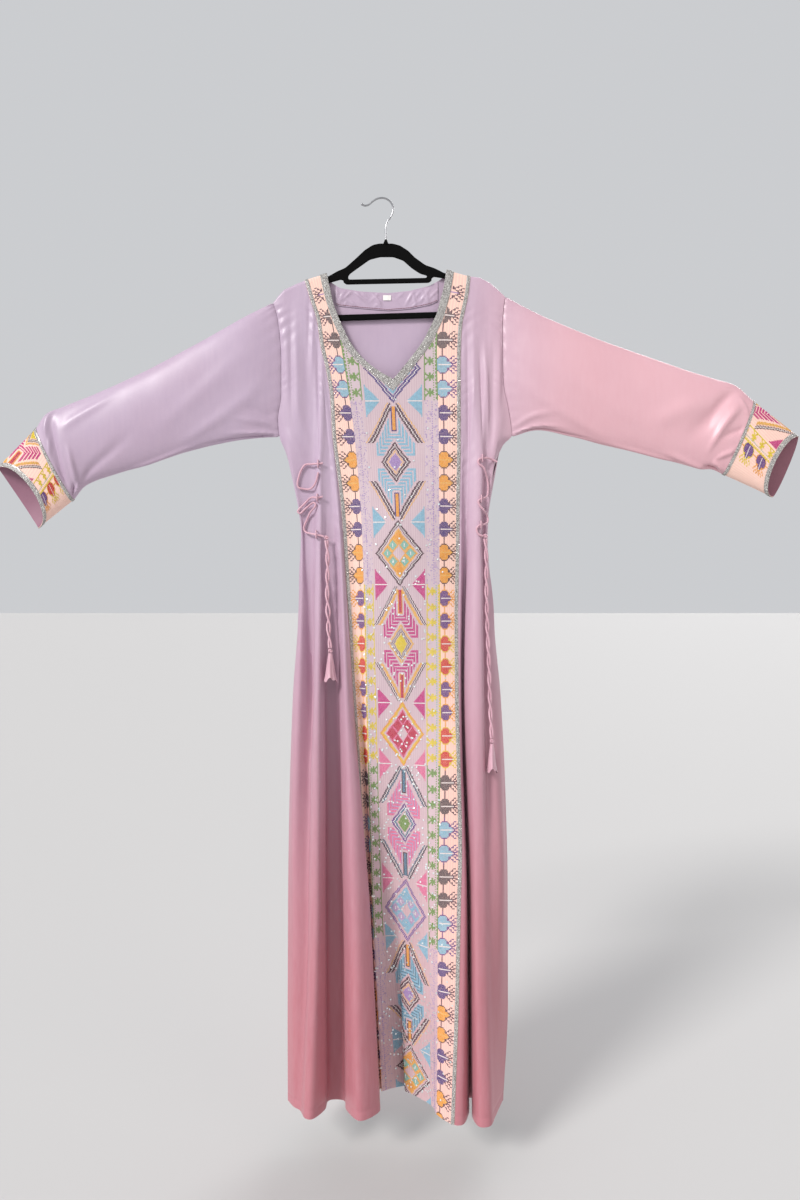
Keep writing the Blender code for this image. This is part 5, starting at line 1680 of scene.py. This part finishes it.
def cuff_braids(side, silver, flakes):
    """The braids at the seam and at the edge of a cuff, each followed by its flakes."""
    outward = OUTWARD[side]
    seam, mouth, length = cuff_ends(side, SLEEVE_TURN)
    made = []
    for name, start, near, far in (("seam", 0, 0.02, 1), ("edge", 1, -1, -0.02)):
        reach = CUFF_BRAID_WIDTHS[name] / length
        shares = np.linspace(near, far, BRAID_COLUMNS)
        band = np.array([between(seam, mouth, start + share * reach) for share in shares])
        band = lifted(band, outward * BRAID_LIFT, True)
        label = f"cuff_{name}_braid_{side}"
        made.append(braid_wall(f"{label}_strip", band, silver, 41, True, outward))
        made.append(glitter_flakes(f"{label}_flakes", band, "cuff", 43, flakes, True, outward))
    return made


def cuff_stitches(side, floss):
    """Part of the panel's chart in cross stitches, laid round a cuff."""
    first, shift, changed = CUFF_CHARTS[side]
    chart = chart_panel()[first:first + CUFF_CHART_ROWS]
    for letter, other in changed.items():
        chart[chart == letter] = other
    fine = np.linspace(-math.pi, math.pi, 721)
    seam, mouth, length = cuff_ends(side, fine)
    run = run_along(between(seam, mouth, 0.5))
    run -= np.interp(0, fine, run)
    across = (np.arange(chart.shape[1] + 1) - chart.shape[1] / 2) * CUFF_CELL + shift
    angles = np.interp(across, run, fine)
    seam, mouth, length = cuff_ends(side, angles)
    top, foot = ((CUFF_BRAID_WIDTHS[name] + 0.8) / length for name in ("seam", "edge"))
    shares = np.linspace(0, 1, CUFF_CHART_ROWS + 1)
    corners = np.array([between(seam, mouth, between(top, 1 - foot, share)) for share in shares])
    normals = OUTWARD[side] * normals_of(corners)
    wave = cuff_wave(np.degrees(np.mod(angles, 2 * math.pi)), between(*CUFF_STITCHED, shares))
    corners = corners + (stitched(0.1) + wave)[..., None] * normals
    return stitch_letters(f"cuff_{side}_stitches", chart, corners, normals, floss)


# Hanger

def hanger(flock, chrome):
    """The flat flocked hanger with rounded edges, and its wire hook."""
    clear = HANGER_UNDER_CLOTH - SATIN / 2

    def shoulder(first, last):
        return [(x, float(shoulder_height(x)) - clear) for x, _ in SHOULDERS if first < x < last]

    outline = (
        [HANGER_LEFT_END] + shoulder(HANGER_LEFT_END[0], HANGER_NECK[0][0]) + list(HANGER_NECK)
        + shoulder(HANGER_NECK[-1][0], HANGER_RIGHT_END[0]) + [HANGER_RIGHT_END] + list(HANGER_FOOT)
    )
    line = bpy.data.curves.new("hanger_body_flocked", "CURVE")
    line.dimensions = "2D"
    line.fill_mode = "BOTH"
    line.bevel_depth = HANGER_ROUNDING * MM
    line.bevel_resolution = 3
    line.offset = -HANGER_ROUNDING * MM
    line.extrude = (HANGER_THICKNESS / 2 - HANGER_ROUNDING) * MM
    for ring in (outline, TIE_HOLE, BAR_HOLE):
        spline = line.splines.new("POLY")
        spline.use_cyclic_u = True
        ring = rounded_ring(ring)
        spline.points.add(len(ring) - 1)
        for spot, (x, z) in zip(spline.points, ring):
            spot.co = (x * MM, z * MM, 0, 1)
    flat = new_object("hanger_body_flocked", line, flock)
    flat.rotation_euler.x = math.pi / 2
    route = routed([(x, 0, z) for x, z in HOOK], HOOK_SPACING)
    left_over = run_along(route)[-1] - run_along(route)
    ball = HOOK_BALL * np.sqrt(np.clip(1 - (left_over / HOOK_BALL - 1) ** 2, 0.02, 1))
    wire = HOOK_RADIUS * (left_over > HOOK_BALL)
    radii = np.where(left_over < 2 * HOOK_BALL, np.maximum(ball, wire), HOOK_RADIUS)
    hook = tubes("hanger_hook_wire", [route], [radii], HOOK_SIDES, chrome)
    foot = [(HOOK[0][0], 0, z) for _, z in HANGER_COLLAR]
    collar = tubes(
        "hanger_collar_flocked", [foot], [column(HANGER_COLLAR, 0)], COLLAR_SIDES, flock)
    return flat, hook, collar


def rounded_ring(ring):
    """A closed outline with each corner cut into a small bow."""
    ring = np.asarray(ring, float)
    bows = []
    for a, b, c in zip(np.roll(ring, 1, axis=0), ring, np.roll(ring, -1, axis=0)):
        first, last = [
            between(b, end, min(0.3, CORNER_BOW / max(np.linalg.norm(end - b), 0.1))) for end in (a, c)
        ]
        for share in (0, 0.33, 0.67, 1):
            bows.append(between(between(first, b, share), between(b, last, share), share))
    return np.array(bows)


# Lacing

def resting(points, clear, spacing=CORD_SPACING):
    """A cord's route at x, z points, held `clear` of the cloth and stretched over its hollows."""
    flat = routed([(x, 0, z) for x, z in points], spacing / 4)
    ahead = np.min([front_spot(flat[:, 0] + d, flat[:, 2])[:, 1] for d in (-2, 0, 2)], axis=0)
    near = 5
    padded = np.pad(ahead, near, mode="edge")
    ahead = np.array([padded[i:i + 2 * near + 1].min() for i in range(len(ahead))])
    padded = np.pad(ahead, near, mode="edge")
    flat[:, 1] = np.convolve(padded, np.full(2 * near + 1, 1 / (2 * near + 1)), "valid") - clear
    return routed(flat, spacing)


def tail_route(side):
    table = TAILS[side]
    middle = routed([row[:3] for row in table], TAIL_SPACING)
    return middle, np.interp(middle[:, 2], column(table, 2)[::-1], column(table, 3)[::-1])


def cord_curve(name, points, material):
    """A free cord as a curve, so that its own line is its centreline."""
    line = bpy.data.curves.new(name, "CURVE")
    line.dimensions = "3D"
    line.bevel_depth = CORD_RADIUS * MM
    line.bevel_resolution = 4
    line.use_fill_caps = True
    points = curve_through(points, np.linspace(0, len(points) - 1, 3 * len(points) - 2))
    spline = line.splines.new("POLY")
    spline.points.add(len(points) - 1)
    for spot, point in zip(spline.points, points):
        spot.co = (*(point * MM), 1)
    return new_object(name, line, material)


def knot_of(name, at, cord):
    """An overhand knot of satin cord, drawn up into a small ball."""
    turn = np.linspace(0, 2 * math.pi, 121)
    reach = 1 + KNOT_SWELL * np.cos(3 * turn)
    route = np.column_stack(
        [reach * np.cos(2 * turn), 0.62 * np.sin(3 * turn), 0.95 * reach * np.sin(2 * turn)])
    route *= (KNOT_RADIUS - KNOT_CORD_RADIUS) / (1 + KNOT_SWELL)
    return tubes(name, [route + at], [KNOT_CORD_RADIUS], KNOT_SIDES, cord)


def tassel(side, top, cord, dark):
    """A tulip of folded satin: pleats that start at its neck and a waved mouth."""
    turn = np.linspace(0, 2 * math.pi, TASSEL_SIDES, endpoint=False)
    down = np.linspace(0, 1, TASSEL_ROWS)
    profile = np.interp(down, column(TASSEL_PROFILE, 0), column(TASSEL_PROFILE, 1))
    profile = np.convolve(np.pad(profile, 2, mode="edge"), np.full(5, 0.2), "valid")
    pleats = 0.11 * np.sin(3 * turn + 0.6) + 0.05 * np.sin(7 * turn)
    waves = 0.06 * np.sin(2 * turn + 1.1) + 0.04 * np.sin(5 * turn)
    grid = []
    for share, wide in zip(down, profile):
        reach = TASSEL_MOUTH[side] * wide * (0.86 + pleats * smooth(share * 2.2))
        drop = TASSEL_LENGTH * share * (0.93 + waves * share ** 2)
        grid.append(np.column_stack([reach * np.cos(turn), reach * np.sin(turn), -drop]))
    # Its inner side has the wrong side's painted shade
    return cloth(f"tassel_{side}_satin", np.array(grid) + top, SHOWN_TRIM, (cord, dark), True)


def lace_routes(side, tie):
    """The routes of one side's laces. One that is tied in the knot ends at the knot's rim."""
    routes = {}
    for name, points in LACES.items():
        if not name.startswith(side):
            continue
        route = resting(points, SATIN / 2 + GAP + CORD_RADIUS + LACE_LIFT)
        if not name.endswith("upper"):
            away = route - tie
            kept = np.linalg.norm(away, axis=1) > KNOT_RIM + 2
            rim = tie + unit(away[kept][-1]) * KNOT_RIM
            route = routed(np.vstack([route[kept], rim]), CORD_SPACING)
        routes[name] = route
    return routes


def loop_route(side, level, laces):
    """A small loop that stands over the lace at one height. laces are all points of the side's laces."""
    place = np.array([[float(LINES.index(LOOP_FOLDS[side]))]])
    x, y, z = layer("front", [level], place)[0, 0]
    foot = y - SATIN / 2 - GAP - LOOP_RADIUS + LOOP_SUNK
    under = min(p[1] for p in laces if math.hypot(p[0] - x, p[2] - z) < LOOP_HALF_HEIGHT + 1)
    crown = under - CORD_RADIUS - 2 * GAP - LOOP_RADIUS
    shape = [(x, between(foot, crown, out), z + up * LOOP_HALF_HEIGHT) for up, out in LOOP_SHAPE]
    return routed(shape, LOOP_SPACING)


def lacing(side, cord, dark):
    """The loops, the cord under them, and the tail of two twisted cords with its tassel."""
    middle, apart = tail_route(side)
    drop = np.array([0, 0, KNOT_RIM])
    tie = middle[0] + drop
    routes = lace_routes(side, tie)
    spots = [spot for route in routes.values() for spot in route]
    loops = [
        tubes(
            f"lace_loop_{side}_{number}_cord", [loop_route(side, level, spots)], [LOOP_RADIUS], LOOP_SIDES,
            cord)
        for number, level in enumerate(LOOP_HEIGHTS[side], start=1)
    ]
    laces = [(cord_curve(f"lace_{name}_cord", route, cord), route) for name, route in routes.items()]
    tails = []
    for letter, start in (("a", 0), ("b", math.pi)):
        turn = start + 2 * math.pi * run_along(middle) / TWIST
        strand = middle + np.column_stack([apart * np.cos(turn), apart * np.sin(turn), 0 * turn])
        tails.append((cord_curve(f"lace_tail_{side}_{letter}_cord", strand, cord), strand))
    foot = middle[-1] - drop
    knot = knot_of(f"lace_knot_{side}_cord", tie, cord)
    end_knot = knot_of(f"tassel_knot_{side}_cord", foot, cord)
    neck = TASSEL_PROFILE[0][1] * TASSEL_MOUTH[side] - TRIM / 2
    seat = math.sqrt((KNOT_RADIUS + GAP) ** 2 - neck ** 2)
    return loops, laces, tails, knot, end_knot, tassel(side, foot - np.array([0, 0, seat]), cord, dark)


# Sequins

SEQUIN_COUNT = 780
SEQUIN_SIDES = 8
SEQUIN_RADIUS = 1.7
SEQUIN_DOME = 0.35
SEQUIN_TILT = 0.192
# Where they lie: first row of the chart and how many rows, then spread and reach from the middle
SEQUIN_ROWS = (90, 630)
SEQUIN_SPREAD, SEQUIN_REACH = 44, 104


def sequins(material):
    """Small domed discs sewn here and there on the lower panel."""
    chance = np.random.default_rng(77)
    discs = []
    for _ in range(SEQUIN_COUNT):
        row = SEQUIN_ROWS[0] + SEQUIN_ROWS[1] * chance.uniform() ** 0.5
        across = chance.normal(0, SEQUIN_SPREAD)
        if abs(across) < SEQUIN_REACH:
            discs.append((row, across))
    rows, across = np.array(discs).T
    levels = drop_at(rows)
    spot, beside, below = [
        layer("front", levels + dz, chart_lines(across + dx)[:, None])[:, 0]
        for dx, dz in ((0, 0), (1, 0), (0, -1))
    ]
    normal, side = unit(np.cross(below - spot, beside - spot)), unit(beside - spot)
    base = spot + normal * (panel_relief(spot[:, None]) + stitched(0.75))
    turn = np.arange(SEQUIN_SIDES) * 2 * math.pi / SEQUIN_SIDES
    rim = np.column_stack([np.cos(turn), np.sin(turn)])
    corners, faces = [], []
    for middle, up, a, b in zip(base, normal, side, np.cross(normal, side)):
        tilt = chance.normal(0, SEQUIN_TILT, 2)
        start = len(corners)
        corners.append(middle + SEQUIN_DOME * up)
        corners += [middle + SEQUIN_RADIUS * (a * x + b * y) + up * (tilt @ [x, y]) for x, y in rim]
        faces += [(start, start + 1 + i, start + 1 + (i + 1) % SEQUIN_SIDES) for i in range(SEQUIN_SIDES)]
    layout = cell_layout(len(base), 0.5 + 0.4 * np.vstack([(0, 0), rim]))
    return new_object("panel_sequins", make_mesh("panel_sequins", corners, faces, layout), material)


# Stage

# Lamps: the way each shines, its spread in degrees, its strength and its colour
SUNS = (
    ("Key light", (0.56, 0.6, -0.57), 16, 2.38, (1.0, 0.98, 0.96)),
    ("Fill light", (-0.75, 0.6, -0.25), 40, 0.5, (1.0, 0.9, 0.86)),
    ("Back light", (-0.4, -0.8, -0.5), 40, 1.6, (1.0, 1.0, 1.0)),
)
# The floor's height and how far it reaches, in metres, and the shade of the world behind the garment
FLOOR_LEVEL, FLOOR_REACH = -1.64, 60
WALL_SHADE = (0.6, 0.61, 0.63, 1)


def stage():
    """A pale floor, a pale world that is darker on one side, and soft studio lights."""
    scene = bpy.context.scene
    scene.view_settings.view_transform = "Standard"
    mesh = bpy.data.meshes.new("floor")
    reach, low = FLOOR_REACH, FLOOR_LEVEL
    corners = [(-reach, -reach, low), (reach, -reach, low), (reach, reach, low), (-reach, reach, low)]
    mesh.from_pydata(corners, [], [(0, 1, 2, 3)])
    material, tree, shader = new_material("Pale floor")
    feed(tree, shader, {"Base Color": (0.52, 0.515, 0.51, 1), "Roughness": 0.85})
    new_object("floor", mesh, material)
    world = bpy.data.worlds.new("Studio")
    world.use_nodes = True
    tree = world.node_tree
    way = add(tree, "ShaderNodeTexCoord").outputs["Generated"]
    axes = add(tree, "ShaderNodeSeparateXYZ", {"Vector": way})
    side = ranged(tree, axes.outputs["X"], (-0.6, 0.5), (0.9, 0.24), "SMOOTHSTEP")
    behind = ranged(tree, axes.outputs["Y"], (-0.35, 0.15), curve="SMOOTHSTEP")
    front = add(tree, "ShaderNodeCombineColor", {0: side, 1: side, 2: times(tree, side, 1.05)}).outputs[0]
    feed(tree, tree.nodes["Background"], {0: mixed(tree, behind, front, WALL_SHADE)})
    scene.world = world
    for name, way, spread, strength, colour in SUNS:
        data = bpy.data.lights.new(name, "SUN")
        data.angle = math.radians(spread)
        data.energy = strength
        data.color = colour
        lamp = bpy.data.objects.new(name, data)
        scene.collection.objects.link(lamp)
        lamp.location = (0, 0, 2)
        lamp.rotation_euler = Vector(way).to_track_quat("-Z", "Y").to_euler()


def laced_side(side, looks):
    """The lacing and the tail of one side. The part's own pieces of them are hidden."""
    loops, laces, tails, knot, end_knot, tassel_piece = lacing(side, looks["cord"], looks["shaded_wrong_side"])
    cords = [cord for cord, route in laces + tails]
    pieces = loops + cords + [knot, end_knot]
    for piece in pieces:
        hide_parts(piece.name.removesuffix("_cord"))
    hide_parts(f"tassel_{side}")
    return pieces + [tassel_piece]


# Tints of the satin's right side. The spread of lilac, peach and rose is mostly painted light, shadow is
# painted shade in random patches, and light is a painted highlight on the crinkle's ridges.
TINTS = {
    "lilac": (188, 170, 192), "peach": (224, 176, 184), "rose": (184, 110, 119),
    "shadow": (150, 102, 122), "light": (238, 214, 222),
}
# Tints of the satin's wrong side, darker than the right side's: painted shade of the garment's insides, the
# inside of the cuffs and of the tassels
SHADED_INNER_TINTS = {
    "lilac": (158, 112, 132), "peach": (164, 108, 122), "rose": (136, 78, 90),
    "shadow": (112, 62, 80), "light": (176, 140, 152),
}


def all_looks():
    """Every material of the garment, by the name of what it is on."""
    crinkle, floss, glitter = crinkle_group(), thread_group(), glitter_group()
    tints, inner = [{name: rgb(*shade) for name, shade in table.items()} for table in (TINTS, SHADED_INNER_TINTS)]
    return {
        "satin": satin_material("Dusty rose satin", tints, crinkle),
        # The wrong side and the cuff's inside carry painted shade; their higher roughness is the duller
        # weave
        "shaded_wrong_side": satin_material("Wrong side of the satin", inner, crinkle, 0.15),
        "shaded cuff inside": satin_material("Inside of the cuff", inner, crinkle, 0.2),
        "ground": ground_material("Embroidered cotton", FIELD_EDGE, BAND_EDGE, crinkle),
        "silver": glitter_material("Silver glitter braid", rgb(168, 160, 156), glitter, 1500, 0.35),
        "flakes": glitter_material("Silver flakes", rgb(200, 200, 196), glitter, 2500, 0.9),
        "cord": cord_material("Satin cord", crinkle),
        "tape": label_material(),
        "thread": floss_material("Dark red thread", rgb(120, 30, 45), floss),
        "sequin": sequin_material(),
        "floss": {
            letter: floss_material(f"{name.capitalize()} floss", rgb(*shade), floss)
            for letter, (name, shade) in FLOSS.items()
        },
    }


def fill_slot(pieces):
    for piece in pieces:
        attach(piece, "root")


def body_pieces(looks):
    """The front, the back, the panel and what is sewn on them."""
    satin, shaded_wrong_side, silver, flakes = (looks[name] for name in ("satin", "shaded_wrong_side", "silver", "flakes"))
    panel = centre_panel(looks["ground"], shaded_wrong_side)
    panel_work = panel_stitches(looks["floss"]) + [sequins(looks["sequin"])]
    left, right = side_pieces((satin, shaded_wrong_side))
    plain_back = back_grid()
    back = back_piece(plain_back, satin)
    facing, facing_stitches = neck_facing(plain_back, satin, looks["thread"])
    label = neck_label(plain_back, looks["tape"])
    braids = trims(silver, flakes)
    for piece, node in (
        (panel, "centre_panel"), (left, "front_side_left"), (right, "front_side_right"), (back, "back"),
        (facing, "back_neck_facing"), (label, "neck_label"), (braids[0], "panel_braid_left"),
        (braids[2], "panel_braid_right"), (braids[4], "neck_band"),
    ):
        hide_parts(node)
    fill_slot([left, right, back, facing, facing_stitches])
    fill_slot([panel] + panel_work)
    fill_slot(braids)
    fill_slot([label])


def arm_pieces(side, looks):
    """One sleeve and its cuff, with the cuff's braids and stitches."""
    sleeve = sleeve_piece(side, (looks["satin"], looks["shaded_wrong_side"]))
    cuff = cuff_piece(side, (looks["ground"], looks["shaded cuff inside"]))
    braids = cuff_braids(side, looks["silver"], looks["flakes"])
    stitches = cuff_stitches(side, looks["floss"])
    for piece, node in (
        (sleeve, "sleeve"), (cuff, "cuff"), (braids[0], "cuff_seam_braid"), (braids[2], "cuff_edge_braid"),
    ):
        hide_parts(f"{node}_{side}")
    fill_slot([sleeve])
    fill_slot([cuff] + stitches)
    fill_slot(braids)


def main():
    looks = all_looks()
    fill_slot(laced_side("left", looks) + laced_side("right", looks))
    body_pieces(looks)
    for side in ("left", "right"):
        arm_pieces(side, looks)
    flat, hook, collar = hanger(flock_material(), chrome_material())
    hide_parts("hanger_body")
    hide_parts("hanger_hook")
    fill_slot([flat, collar])
    fill_slot([hook])


# Camera first, then the garment
camera_data = bpy.data.cameras.new("Camera")
camera_data.angle = 2 * math.atan(HALF_VIEW / CAMERA_DISTANCE)
camera = bpy.data.objects.new("Camera", camera_data)
camera.location = (CAMERA_X * MM, -CAMERA_DISTANCE * MM, CAMERA_Z * MM)
camera.rotation_euler = (math.pi / 2, 0, 0)
bpy.context.scene.collection.objects.link(camera)
bpy.context.scene.camera = camera

main()
stage()
